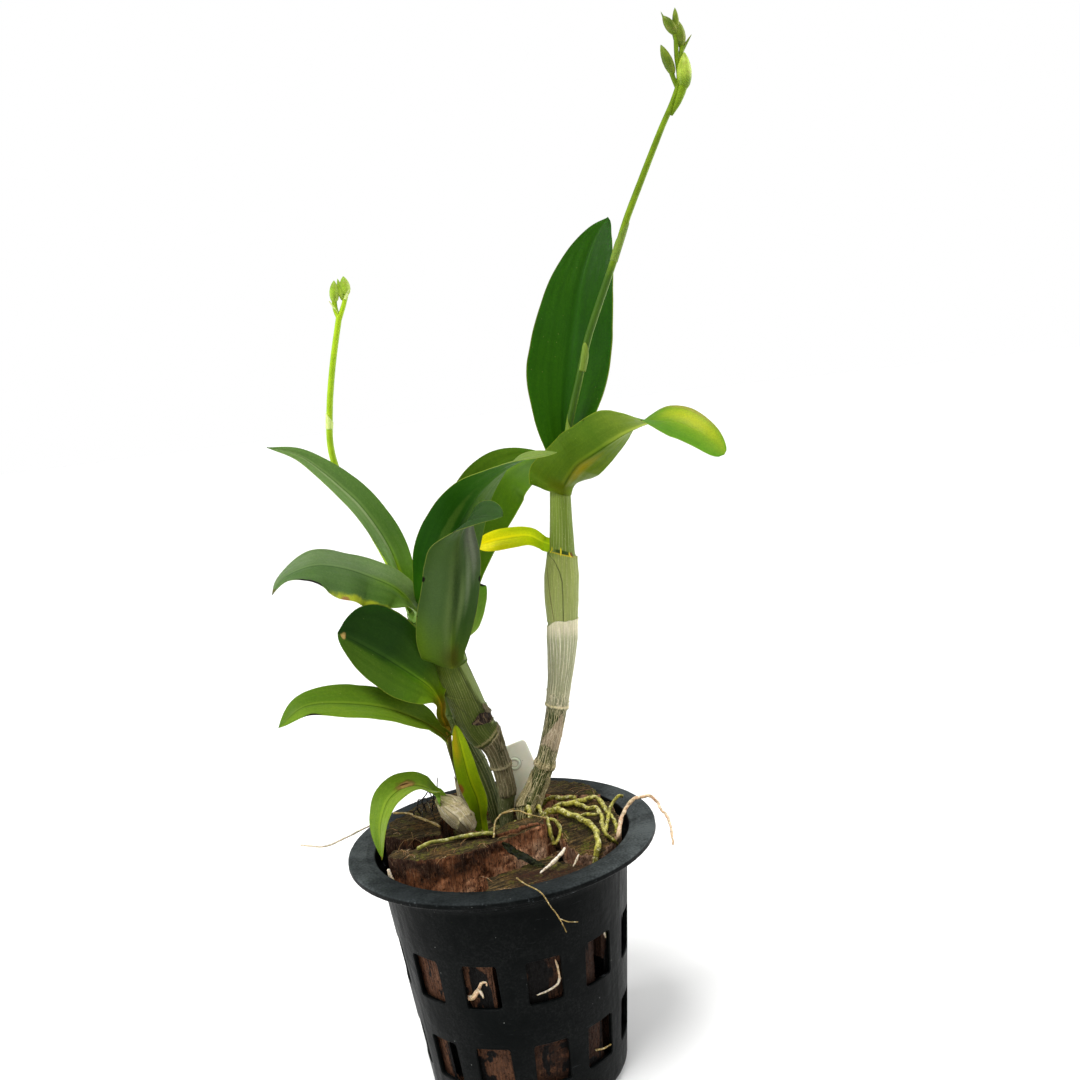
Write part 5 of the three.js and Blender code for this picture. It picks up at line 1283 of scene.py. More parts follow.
def bract(shape, base, tip, facing, width, paint=BRACT):
    """A small pointed scale that clasps a stem."""
    base, tip, facing = (np.array(p, float) for p in (base, tip, facing))
    way = tip - base
    length = np.linalg.norm(way)
    facing = unit(facing - unit(way) * facing.dot(unit(way)))
    side = np.cross(unit(way), facing)
    u = np.linspace(0, 1, 14)[:, None]
    lane = np.linspace(-1, 1, 11)[None, :]
    half = width / 2 * (1 - u**1.6) * (0.75 + 0.5 * u)
    bend = half * 0.5 * lane**2
    middle = base + way * u[..., None] + side * (half * lane)[..., None] - facing * bend[..., None]
    middle = middle + facing * (0.12 * length * (u**2)[..., None])
    places = u, (lane + 1) / 2
    a = shape.grid(middle + facing * 0.09, *places, paint)
    b = shape.grid(middle - facing * 0.09, *places, paint, flip=True)
    shape.seam(margins(b, a), (0.5, 0.5), paint)


def sleeve(shape, points, radii, reach, paint=BRACT, seed=0, slit=0.0):
    """A small sheath round a spike: flush below, cut to a point above, lowest across from the angle slit."""
    curve = Path(points)
    rows, sides = 22, 28
    u = np.linspace(0, 1, rows)
    centres, along = curve.at(u), curve.along(u)
    side, up = carried(along)
    angle = np.arange(sides) / sides * TAU
    point = 0.45 + 0.55 * (0.5 + 0.5 * np.cos(angle - slit)) ** 1.4  # how high the edge stands
    t = u[:, None] * point[None, :]
    centre = np.stack([np.interp(t, u, centres[:, k]) for k in range(3)], -1)
    radius = np.interp(t, [0, 1], radii) + reach * np.sin(math.pi / 2 * u[:, None]) * 0.6
    radius = radius + 0.03 * noise2(np.cos(angle)[None] * 3, u[:, None] * 4, seed, 2)
    way = circles(side, up, angle)
    places = u[:, None], np.arange(sides + 1)[None, :] / sides
    a = shape.grid(centre + way * (radius + 0.08)[..., None], *places, paint, wrap=True)
    b = shape.grid(centre + way * (radius - 0.06)[..., None], *places, paint, wrap=True, flip=True)
    shape.seam(((a[0], b[0]), (b[-1], a[-1])), (0.5, 0.5), paint)


def make_spikes():
    """Two stalks with their sleeves, side stalks, buds and bracts."""
    looks = [
        spike_look("spike_skin", (84, 108, 4), (104, 130, 10), (196, 252)),
        bud_look("bud_skin", (72, 92, 10), (104, 122, 22), (140, 150, 66)),
        bract_look("bract_skin", (104, 126, 34), (84, 108, 20)),
        bud_look("bud_pale_skin", (124, 144, 34), (158, 178, 62), (196, 210, 112), (305.2, 301.6)),
    ]
    shape = Shape()
    line = [(33, 11.5, 190), (36.5, 11, 205.5), (41, 10, 219), (45, 9, 231), (50.2, 8, 242.5),
            (55.3, 7, 253.3), (60.5, 6, 265.2), (66.2, 5, 276.3), (73.2, 4, 289.5), (78, 4, 298),
            (80, 4, 303), (80, 4, 310), (80.5, 4, 318)]
    bar(shape, line, (1.2, 1.15, 1.1, 0.95, 0.65), wobble=0.03, seed=3)
    sleeve(shape, [(42.2, 9.7, 221.8), (44.8, 9.05, 230.2)], (1.2, 1.15), 0.12, seed=5, slit=2.5)
    sleeve(shape, [(55.4, 7.0, 253.5), (60.2, 6.05, 264.6)], (1.14, 1.1), 0.16, seed=6, slit=4.0)
    sleeve(shape, [(35.5, 11.2, 201), (37.8, 10.7, 209)], (1.25, 1.2), 0.3, seed=7, slit=1.0)
    bar(shape, [(76.8, 4, 293.5), (79.2, 3.4, 297.2), (80.8, 3.1, 300.7), (81.6, 3.1, 303.4)],
        (0.5, 1.0, 1.3, 1.3), seed=7)
    bar(shape, [(79.3, 4, 300.5), (78.4, 4.2, 304), (77.8, 4.2, 306.5)], (0.6, 0.8), seed=8)
    bar(shape, [(80, 4, 307), (81.6, 4.6, 311), (82, 4.8, 314)], (0.6, 0.8), seed=9)
    bud(shape, (81.2, 3.2, 299.8), (82.2, 3, 310.4), 4.4, PALE_BUD)
    bud(shape, (78.6, 4.2, 304.6), (75.7, 4.3, 313.6), 3.1)
    bud(shape, (81.8, 4.8, 312.3), (80.9, 5, 320.6), 3.9)
    bud(shape, (80.6, 4, 315.8), (77.0, 3.8, 321.5), 3.1)
    bud(shape, (80.6, 4, 316.5), (80.8, 3.8, 323.3), 2.0)
    bract(shape, (82, 4.4, 311), (84.7, 4.4, 315.5), (0.6, -0.8, 0), 1.2)
    bract(shape, (77.6, 3.8, 318.6), (76.9, 3.8, 322.6), (-0.7, -0.7, 0), 1.0)
    shape.piece("spike_tall_stem", looks, "spike", ["spike_tall"])
    shape = Shape()
    looks = [
        spike_look("spike_left_skin", (132, 164, 16), (150, 180, 22)),
        bud_look("bud_left_skin", (112, 140, 22), (142, 170, 46), (176, 196, 92)),
        *looks[2:],
        bract_look("pale_sleeve", (196, 206, 130), (172, 194, 92)),
    ]
    bar(shape, [(-21, 21.8, 147.5), (-22.4, 23.4, 153), (-27.6, 25, 168), (-35.2, 25, 187), (-39.2, 23, 198),
                (-40.2, 21, 207), (-38.7, 20, 219), (-35.7, 20, 233), (-31.5, 20, 248)],
        (1.25, 1.2, 1.05, 0.95), wobble=0.03, seed=13)
    sleeve(shape, [(-39.7, 20.4, 213), (-38.9, 20.1, 218)], (1.1, 1.08), 0.1, PALE_BRACT, seed=14, slit=2.0)
    bar(shape, [(-31.6, 20, 247), (-32.4, 20, 250), (-32.4, 20, 253)], (0.85, 0.8), seed=15)
    bar(shape, [(-31.6, 20, 247), (-29.7, 20, 251), (-28.3, 20.3, 254.5)], (0.85, 0.7), seed=16)
    bud(shape, (-32.4, 20, 252), (-31.6, 20, 259), 3.1)
    bud(shape, (-28.4, 20.3, 253.8), (-28.6, 20.5, 260), 3.4)
    bud(shape, (-29.8, 20, 252.5), (-30.4, 20, 259.4), 1.7)
    bract(shape, (-32, 19.4, 248.5), (-33.6, 19.4, 252.9), (-0.6, -0.8, 0), 1.2, PALE_BRACT)
    bract(shape, (-28.8, 19.4, 252.6), (-27.2, 19.4, 256), (0.6, -0.8, 0), 1.2, PALE_BRACT)
    shape.piece("spike_left_stem", looks, "spike", ["spike_left"])


# ---- Rhizome and roots ----

GREEN, PINK, BROWN, WHITE, RHIZOME_SKIN, MOSSY, WIRE = range(7)  # where each look is in the roots' list
RHIZOME = [(-13, 25, 74), (-8, 22.5, 73.5), (-3, 20, 73), (1.5, 14.5, 73), (8, 13, 73.5)]
RHIZOME_BRANCH = [(-2, 18.5, 73), (-6.5, 10, 75), (-10, 7, 77)]
THICK_ROOTS = [
    ([(8, 13, 74), (11.5, 17.5, 79), (16, 16.5, 83), (20, 13.5, 84), (24.5, 12.5, 84)], (1, 0.8)),
    ([(8, 13, 74), (13, 9, 78.5), (17, 10.5, 82), (23, 9, 83.5), (28, 11, 83.5), (31, 12, 83.5),
      (33, 7.5, 83), (34, 0, 82.5), (35.5, -3, 81.5), (36.3, -5.5, 80), (36, -7, 78), (35.5, -7.5, 75)],
      (1.1, 0.7)),
    ([(8, 12, 74), (12, 7.5, 79), (15, 9, 81.5), (18, 6.5, 82.7), (21, 3, 82.8), (24, -0.5, 82.5),
      (27, -4, 82), (29, -8.5, 81.5), (30, -14, 80.3), (29.5, -18, 78.5), (28, -19.5, 75)], (1.1, 1.1)),
    ([(24, 9.3, 83.4), (26.5, 6.5, 83.2), (28.5, 4, 83), (31, 2.5, 83), (32, -2, 82.3), (32, -8, 81.5),
      (32.5, -11.5, 80), (34, -11.5, 78.3), (35.3, -9.5, 76)], (0.9, 0.7)),
    ([(24.5, -1, 82.5), (27, -0.8, 82.8), (31.8, -1.5, 82.4)], (0.7, 0.6)),
    ([(35, -8.5, 75.5), (36.3, -10, 78.5), (37.3, -8, 81), (38.8, -5.5, 83.5), (40.5, -4, 85.5),
      (42.5, -3.5, 87), (45.5, -4.5, 88), (48, -4.5, 88.2), (49.5, -5, 87), (50.5, -8, 85), (52, -11, 83),
      (52.3, -14.5, 81.5), (52.3, -17.5, 79.5), (52.5, -19, 77.5)], (0.8, 0.4)),
    ([(32.4, -10.5, 80.4), (33.3, -5.5, 81.5), (34.8, -1, 83.5), (36.5, 2, 85), (38.5, 3, 86),
      (39.8, 3.5, 86)], (0.7, 0.6)),
    ([(8, 12, 74), (9.5, 7.5, 77), (9.3, 8, 80), (9.2, 5.5, 80.5), (9, 3.5, 78)], (0.9, 0.8)),
    ([(6, 12, 74), (5.2, 8, 77.5), (4.8, 8.3, 79.5), (2.5, 6.5, 79.5), (0.5, 6, 78.3)], (0.8, 0.6)),
    ([(8, 12, 74), (13, 8, 78), (14.3, 7, 80.5), (15, 2.5, 81), (15.5, -2.5, 80), (16, -5, 76)], (0.9, 0.7)),
]
OVER_RIM = 5  # the one that turns pink as it leaves the pot
STUB_ROOTS = [  # at the foot of the tall cane
    ([(14.6, 4, 81.2), (17.3, 1.0, 81.4), (18.6, -1.8, 79.8), (17.8, -4.0, 77.6), (16.3, -5, 76)],
     (0.5, 0.62, 0.55)),
    ([(8.6, 8, 83), (9.1, 4, 85.6), (9.4, 1.4, 85.3), (9.7, -0.1, 84.0), (9.6, -0.2, 82.0)],
     (0.9, 0.85, 0.7)),
    ([(12, 8, 83), (12.7, 4, 85.5), (13.2, 1.2, 85.1), (13.6, -0.4, 83.8), (13.3, -0.7, 82)],
     (0.8, 0.7, 0.55)),
]
LOOSE_ROOTS = {
    "root_on_front_husk": ([
        ([(-24.5, -18.5, 85.5), (-21.5, -16, 85.8), (-18, -15, 85.6), (-12.5, -13.5, 85.6),
          (-8.5, -13.5, 85.8), (-2, -13.5, 85.6)], (0.6, 0.7))], "root"),
    "root_wiry": ([
        ([(4.3, 8.4, 84), (2.5, 4, 85.3), (0.5, 0, 86), (-1, -6, 86.4), (-1.3, -12, 86.7), (-1.5, -18, 86)],
         (0.3, 0.26)),
        ([(0.8, 1, 85.8), (5.5, 1, 86.2), (10, -3.5, 86), (15, -6.5, 85.5)], (0.28, 0.24))], "root"),
    "root_on_left_husk": ([
        ([(-36, 16.5, 84.5), (-31, 14.5, 84.5), (-27, 10, 84.3), (-24, 6.5, 84.3), (-21.5, 3.5, 84.3),
          (-19.5, 1, 84)], (0.35, 0.45))], "root"),
    "root_thread": ([
        ([(-64, -0.5, 84), (-56, -2, 83.2), (-50, 3, 83.4), (-43, 10.5, 83.5), (-38, 14.5, 83.4)],
         (0.3, 0.3))], "root_tip"),
    "root_over_front_rim": ([
        ([(5, -30, 77.5), (5, -36.5, 80.5), (6.5, -41, 81.3), (9, -45, 81.4), (12, -49, 81),
          (13.8, -50.3, 78), (16.3, -49.8, 73), (17.5, -49.5, 69)], (0.22, 0.15)),
        ([(16.2, -49.8, 73.2), (18.5, -49.6, 72), (21, -49.4, 71.5)], (0.15, 0.12))], "root_tip"),
    "root_tip_front": ([
        ([(19.5, -16.5, 79.3), (18.5, -18.5, 78.8), (15, -23, 77.6), (11.5, -27, 77)],
         (0.38, 0.55, 0.58, 0.5, 0.2))], "root_tip"),
    "root_tip_right": ([
        ([(23.5, -20.5, 78.5), (22.5, -21.8, 77.3), (21.5, -23, 76.2)], (0.15, 0.4, 0.2))], "root_tip"),
    "root_tip_left": ([
        ([(-34.1, -19.9, 80.5), (-33.8, -20.1, 79), (-33.2, -20.3, 76.8)], (0.5, 0.7))], "root_tip"),
}


def root_look(name, pale, dark, stain, highlight, stained=0.4):
    """Spongy root skin with a painted highlight along the top and painted shade underneath, blotched where it
    is wet or mossy, with darker pits.
    """
    look = Look(name)
    blotch = look.noise(look.where, 0.42, 4, 0.65)
    knots = look.noise(look.where, 1.5, 4, 0.7)
    mottle = look.noise(look.where, 0.9, 3, 0.6)
    pores = look.cells(look.where, 2.2)
    facing = look.outward()[2]
    colour = look.mix(look.ease(blotch, 0.42, 0.6), pale, dark)
    # painted highlight along the top, where the roots face up
    shine = look.times(look.ease(look.add(facing, look.sway(mottle, 1.4)), 0.5, 1.1), 0.75)
    colour = look.mix(shine, colour, highlight)
    colour = look.mix(look.times(look.ease(knots, 0.52, 0.64), stained), colour, stain)
    colour = look.mix(look.times(look.ease(mottle, 0.51, 0.61), min(1.0, stained * 1.6)), colour,
                      look.tint(colour, 0.34, 0.32, 0.22))
    # pale worn patches that are also a painted highlight, only where the roots face up
    worn = look.times(look.ease(look.noise(look.where, 0.7, 4, 0.7), 0.54, 0.62),
                      look.ease(facing, -0.1, 0.4))
    colour = look.mix(look.times(worn, 0.6), colour, look.mix(0.55, highlight, (240, 232, 200)))
    # painted shade on the undersides
    colour = look.mix(look.ease(facing, 0.0, -0.7, 0.0, 0.6), colour, look.tint(colour, 0.4, 0.38, 0.3))
    colour = look.mix(look.ease(pores, 0.1, 0.3, 0.4, 0.0), colour, look.tint(colour, 0.45, 0.4, 0.3))
    normal = look.bump(knots, 0.35)
    normal = look.bump(look.noise(look.where, 4.5, 3, 0.6), 0.12, normal)
    return look.finish(colour, look.ease(blotch, 0.3, 0.7, 0.45, 0.7), normal, 0.22, 0.1, (0.8, 1.0, 0.4))


WINDOW_ROOTS = [  # points, radii, look
    ([(-14.2, -31.2, 42.9), (-12.4, -32.4, 43.6), (-10.6, -33.0, 46.0), (-9.3, -33.4, 48.2),
      (-8.0, -33.5, 48.4), (-7.9, -33.3, 47.3)], (0.8, 0.45), PINK),
    ([(-10.6, -33.0, 46.2), (-9.6, -33.3, 44.4), (-9.4, -33.3, 43.4)], (0.5, 0.2), WHITE),
    ([(6.4, -33.9, 42.6), (9.5, -33.4, 43.3), (12.6, -32.4, 44.4), (13.6, -32.2, 46.2)], (0.2, 0.42), WHITE),
    ([(13.6, -32.2, 46.0), (13.4, -32.4, 50.0), (12.4, -32.6, 53.5), (11.0, -32.8, 55.5)], (0.42, 0.25),
     PINK),
    ([(29.2, -19.6, 60), (28.4, -20.8, 57), (28.0, -20.9, 54.4), (28.8, -20.4, 51.3)], (0.7, 0.45), WHITE),
    ([(21.6, -23.2, 16.4), (24.0, -21.6, 15.6), (26.8, -18.6, 15.0)], (0.3, 0.25), BROWN),
]
WIRY = [  # dark fibres that stand up at the back left
    [(-27, 17, 82), (-27.5, 15, 86.5), (-25, 12, 90), (-22.5, 10, 86), (-22, 9, 83)],
    [(-25.5, 19, 82), (-25.5, 16, 88), (-23, 13, 91), (-21, 12.5, 86)],
    [(-29.5, 14, 82), (-28.6, 12, 85), (-26.6, 11, 87.6), (-25.6, 9, 84)],
    [(-23.5, 20, 82), (-22.5, 17, 87), (-20.6, 15, 91.5), (-19.6, 15.5, 95)],
    [(-21.5, 18, 82), (-20.6, 15, 86), (-19.6, 12.5, 87), (-18, 11.5, 83)],
    [(-28, 20, 82), (-26, 18, 85), (-22.6, 17.5, 86), (-18, 18, 84)],
]


def make_roots():
    """The rhizome with the roots that leave it, the loose ones, those in the windows and dark fibres."""
    looks = [
        root_look("root_green", (160, 154, 52), (100, 96, 24), (58, 46, 18), (212, 206, 118), stained=0.8),
        root_look("root_pink", (212, 184, 146), (190, 150, 116), (124, 80, 54), (240, 222, 198)),
        root_look("root_brown", (150, 124, 70), (116, 96, 48), (56, 38, 22), (176, 156, 104)),
        root_look("root_white", (222, 208, 184), (198, 178, 148), (170, 112, 84), (244, 240, 230),
                  stained=0.5),
        root_look("rhizome_skin", (92, 86, 42), (62, 60, 28), (34, 26, 14), (120, 118, 62)),
        root_look("root_mossy", (124, 122, 40), (84, 84, 26), (56, 44, 18), (176, 172, 96)),
        root_look("wiry_fibre", (26, 20, 16), (14, 12, 10), (44, 32, 22), (60, 50, 42)),
    ]
    shape = Shape()
    bar(shape, RHIZOME, (2.4, 2.8), 28, RHIZOME_SKIN, wobble=0.5, seed=70)
    bar(shape, RHIZOME_BRANCH, (2.2, 1.8), 28, RHIZOME_SKIN, wobble=0.5, seed=71)
    for index, (points, radii) in enumerate(THICK_ROOTS):
        radii = tuple(0.88 * r for r in radii)  # the solids are a little thicker than the roots of the photo
        bar(shape, points, radii, 18, PINK if index == OVER_RIM else GREEN, step=0.35, wobble=0.24,
            seed=80 + index, wander=0.4, lumps=0.16)
    for index, (points, radii) in enumerate(STUB_ROOTS):
        bar(shape, points, radii, 16, GREEN, step=0.35, wobble=0.2, seed=95 + index, wander=0.2, lumps=0.16)
    shape.piece("rhizome_and_roots", looks, "root", ["rhizome_roots"])
    paint = {"root_on_front_husk": MOSSY, "root_wiry": BROWN, "root_on_left_husk": BROWN,
             "root_over_front_rim": BROWN}
    for index, (name, (paths, slot)) in enumerate(LOOSE_ROOTS.items()):
        shape = Shape()
        for points, radii in paths:
            bar(shape, points, radii, 14, paint.get(name, WHITE), step=0.35, wobble=0.25 * max(radii),
                seed=100 + index, wander=0.12, lumps=0.2)
        shape.piece(f"{name}_skin", looks, slot, [name])
    shape = Shape()
    for index, (points, radii, look) in enumerate(WINDOW_ROOTS):
        bar(shape, points, radii, 14, look, step=0.35, wobble=0.2, seed=120 + index, lumps=0.2)
    shape.piece("window_roots_skin", looks, "root_tip")
    shape = Shape()
    for index, points in enumerate(WIRY):
        bar(shape, points, (0.26, 0.16), 8, WIRE, step=0.5, seed=140 + index, wander=0.8)
    shape.piece("wiry_fibres_skin", looks, "root")


# ---- Coconut husk ----

HUSK_CHUNKS = {  # outline, levels of bottom and top, slope of the top
    "husk_front": (
        [(-34, -17.5), (-29.5, -20.5), (-24.5, -22.5), (-15.5, -23.5), (-8.5, -21), (-1, -17), (6.5, -12.5),
         (13.5, -8), (14.5, -2), (9, -1), (2.5, -3), (-1.5, -8.5), (-9, -9.5), (-15.5, -11), (-22.5, -12.5),
         (-33, -13.8)], (62, 84.4), (0.01, 0.02)),
    "husk_front_left": (
        [(-7, -24), (-16, -26.5), (-25, -25.5), (-33, -22), (-30, -30), (-18, -38), (-6, -41)],
        (61, 70), (0, 0)),
    "husk_front_right": (
        [(-5, -22), (1, -19.5), (8, -15), (16, -11), (17, -17), (25, -21.5), (31, -21), (26, -31),
         (12, -39), (-4, -40)], (61, 75.4), (0, 0)),
    "husk_left": (
        [(-38, 1.5), (-37, 13), (-30, 21), (-22, 22), (-18.5, 16), (-20, 6), (-19, -3), (-28, -5)],
        (61, 83), (0, 0)),
    "husk_right": (
        [(18.5, -2), (20, -10), (24, -16.5), (30, -18), (35, -11), (38, 0), (36, 11), (27, 15), (18.5, 10)],
        (61, 79.8), (0, 0.2)),
    "husk_back": (
        [(16, 21.5), (24, 19), (33, 17), (30, 27), (20, 35), (9, 39), (10.5, 29)], (61, 82.5), (0, 0)),
    "husk_back_left": (
        [(-33, 22.5), (-22, 24.5), (-18.5, 30), (-12, 32.5), (-5, 31.5), (5, 29), (6, 39), (-12, 40),
         (-28, 30)], (61, 82), (0, 0)),
    "husk_centre": (
        [(-16, -5), (-9, -7), (-3, -6), (1, -0.5), (14, 1.5), (16, 6), (15, 18), (7, 25), (-5, 29),
         (-14, 30), (-17.5, 22), (-16.5, 12), (-18, 4)], (61, 75.4), (0, 0)),
}
# levels of bottom and top, and the angles in degrees from the front at which the gaps between wedges lie
HUSK_WEDGES = {"husk_low": ((2.4, 35.5), (-40, 55, 150, 235)),
               "husk_mid": ((36.5, 60), (-88, -6, 48, 131, 215))}
WEDGE_GAP, WEDGE_TIP, WEDGE_REACH = 2.5, 3.0, 44.4  # half a gap, and the radii of a wedge's tip and rim
HUSK_ROOM = [(2, 27.7), (6, 29.7), (73, 37.1), (74.5, 39.6), (100, 39.6)]  # height, radius
GRAIN_WAY = (0.94, 0.34)  # the way the grooves on the chips' tops run


def husk_look():
    """Fibres along the sides, dark corky tops with moss, pale scuffed bark, and painted shade in the cracks,
    in the gap at the right front and lower in the pot.
    """
    look = Look("husk_fibre")
    facing = look.outward()[2]
    rough_edge = look.noise(look.where, 0.6, 4, 0.65)
    top = look.ease(look.add(facing, look.sway(rough_edge, 0.9)), 0.4, 0.7)
    fibre = look.noise(look.where, (1.7, 1.7, 0.14), 4, 0.65, 0.2)
    strand = look.noise(look.where, (5.0, 5.0, 0.5), 3, 0.6)
    pits = look.noise(look.where, (1.3, 1.3, 0.75), 5, 0.72)
    big = look.noise(look.where, 0.1, 4, 0.62)
    share = look.add(look.sway(big, 2.0),
                     look.add(look.times(look.x, 0.014), look.times(look.less(look.z, 77.0), -0.026)))
    side = look.ramp(look.add(share, 0.52), (0.12, (50, 28, 15)), (0.34, (112, 68, 40)),
                     (0.54, (164, 110, 76)), (0.74, (202, 152, 116)), (0.95, (218, 178, 146)))
    shade = look.ramp(fibre, (0.32, (0.3, 0.26, 0.24, 1)), (0.48, (0.8, 0.78, 0.76, 1)),
                      (0.6, (1.1, 1.06, 1.0, 1)), (0.72, (1.4, 1.35, 1.3, 1)))
    side = look.mix(1.0, side, shade, "MULTIPLY")
    side = look.mix(look.ease(strand, 0.54, 0.7, 0.0, 0.5), side, look.mix(0.5, side, (206, 168, 130)))
    side = look.mix(look.ease(pits, 0.55, 0.61, 0.0, 0.88), side, (34, 18, 10))
    side = look.mix(look.ease(look.noise(look.where, 3.2, 3, 0.7), 0.58, 0.66, 0.0, 0.5), side, (44, 26, 16))
    cosine, sine = GRAIN_WAY
    along = look.add(look.times(look.x, cosine), look.times(look.y, sine))
    over = look.less(look.times(look.y, cosine), look.times(look.x, sine))
    grooves = look.noise(look.join(look.times(along, 0.14), look.times(over, 1.5), look.z), 1.0, 4, 0.65, 0.3)
    cork = look.noise(look.where, 1.4, 5, 0.72)
    both = look.add(look.times(grooves, 0.6), look.times(cork, 0.4))
    upper = look.ramp(both, (0.36, (20, 15, 8)), (0.48, (52, 42, 24)), (0.56, (84, 68, 40)),
                      (0.66, (130, 104, 66)))
    upper = look.mix(look.ease(big, 0.5, 0.62, 0.0, 0.5), upper, look.tint(upper, 1.5, 1.15, 0.8))
    moss = look.times(look.ease(look.noise(look.where, 0.17, 4, 0.65), 0.5, 0.62),
                      look.ease(cork, 0.42, 0.58))
    upper = look.mix(look.times(moss, 0.6), upper, (92, 98, 26))
    colour = look.mix(top, side, upper)
    deep = look.node("Attribute", out=2, attribute_name="deep")
    # painted shade, on damp husk, in the gap at the right front and on the front face of the right chip
    gap = look.times(look.ease(look.y, -19.5, -23.0), look.ease(look.x, 1.0, 6.0),
                     look.ease(look.noise(look.where, 0.4, 4, 0.65), 0.36, 0.5))
    right = look.times(look.ease(look.y, -6.0, -11.0), look.ease(look.x, 15.5, 18.5), look.less(1.0, top))
    gap = look.most(gap, look.times(right, 0.85))
    colour = look.mix(look.times(gap, 0.75), colour,
                      look.mix(look.ease(pits, 0.4, 0.6), (30, 16, 10), (66, 38, 26)))
    # painted shade inside the pot, below its rim
    colour = look.mix(look.ease(look.z, 72, 60), colour, look.tint(colour, 0.13, 0.09, 0.07))
    # painted shade in the cracks
    colour = look.mix(look.ease(deep, 0.1, 0.55), colour, (6, 4, 3))
    height = look.add(look.times(fibre, 1.2), look.times(strand, 0.4))
    height = look.mix(top, height, look.times(both, 1.3))
    normal = look.bump(height, 0.8)
    normal = look.bump(pits, 0.5, normal)
    return look.finish(colour, look.ease(pits, 0.3, 0.7, 0.6, 0.95), normal, 0.14)


def refine(outline, step):
    """The outline's corners with points between them, at most step apart."""
    points = []
    for (x0, y0), (x1, y1) in zip(outline, [*outline[1:], outline[0]]):
        parts = max(1, math.ceil(math.hypot(x1 - x0, y1 - y0) / step))
        points += [(x0 + (x1 - x0) * k / parts, y0 + (y1 - y0) * k / parts) for k in range(parts)]
    return np.array(points)


def husk_block(name, outline, level, slope, seed, voxel, gaps=0.0):
    """A rough block: an outline stood up between two levels, remeshed finely and worn by noise.

    The top rises by slope along x and y; gaps is the share of cracks in the sides, pushed in and marked for
    painted shade."""
    points = refine(outline, 2.5)
    flat = np.column_stack([points, np.zeros(len(points))])
    points = points + 0.5 * np.column_stack([noise(flat, 0.5, seed, 2), noise(flat, 0.5, seed + 1, 2)])
    bottom, top = level
    tops = top + slope[0] * points[:, 0] + slope[1] * points[:, 1]
    work = bmesh.new()
    lower = [work.verts.new((x * MM, y * MM, bottom * MM)) for x, y in points]
    upper = [work.verts.new((x * MM, y * MM, z * MM)) for (x, y), z in zip(points, tops)]
    work.faces.new(lower[::-1])
    work.faces.new(upper)
    for i in range(len(points)):
        j = (i + 1) % len(points)
        work.faces.new((lower[i], lower[j], upper[j], upper[i]))
    bmesh.ops.recalc_face_normals(work, faces=work.faces)
    mesh = bpy.data.meshes.new(name)
    work.to_mesh(mesh)
    work.free()
    holder = bpy.data.objects.new(name, mesh)
    bpy.context.scene.collection.objects.link(holder)
    remesh = holder.modifiers.new("remesh", "REMESH")
    remesh.mode = "VOXEL"
    remesh.voxel_size = voxel * MM
    graph = bpy.context.evaluated_depsgraph_get()
    fine = bpy.data.meshes.new_from_object(holder.evaluated_get(graph))
    bpy.data.objects.remove(holder)
    bpy.data.meshes.remove(mesh)
    fine.name = name
    count = len(fine.vertices)
    place, out = np.empty(count * 3, np.float32), np.empty(count * 3, np.float32)
    fine.vertices.foreach_get("co", place)
    fine.vertices.foreach_get("normal", out)
    place, out = place.reshape(-1, 3).astype(float) / MM, out.reshape(-1, 3).astype(float)
    upward = ease(out[:, 2], 0.4, 0.8)
    fibres = noise(place, (1.1, 1.1, 0.1), seed + 2, 3)
    lumps = noise(place, 0.22, seed + 3, 2)
    pits = noise(place, 0.8, seed + 4, 3)
    x, y, z = place.T
    cosine, sine = GRAIN_WAY
    grain = np.stack([x * cosine + y * sine, (y * cosine - x * sine) * 8, z], -1)
    ridges = noise(grain, 0.14, seed + 6, 3)
    push = ((1 - upward) * (0.5 * fibres + 0.6 * lumps - 0.5 * ease(pits, 0.2, 0.5))
            + upward * (0.45 * pits + 0.6 * lumps + 0.45 * ridges))
    turn = np.arctan2(x, -y)
    cracks = noise2(turn * 9, z * 0.05 + 2 * noise2(turn * 3, z * 0.1, 31), seed + 8, 3)
    deep = gaps * ease(cracks, 0.08, 0.3) * (1 - upward)
    push = push - 2.5 * deep
    place = place + out * push[:, None]
    layer = fine.attributes.new("deep", "FLOAT", "POINT")
    layer.data.foreach_set("value", deep.astype(np.float32))
    heights, radii = zip(*HUSK_ROOM)
    room = np.interp(place[:, 2], heights, radii) + 0.35
    reach = np.hypot(place[:, 0], place[:, 1])
    place[:, :2] *= np.minimum(1, room / np.maximum(reach, 1e-6))[:, None]
    fine.vertices.foreach_set("co", (place * MM).astype(np.float32).ravel())
    fine.materials.clear()
    fine.update()
    fine.shade_smooth()
    return fine


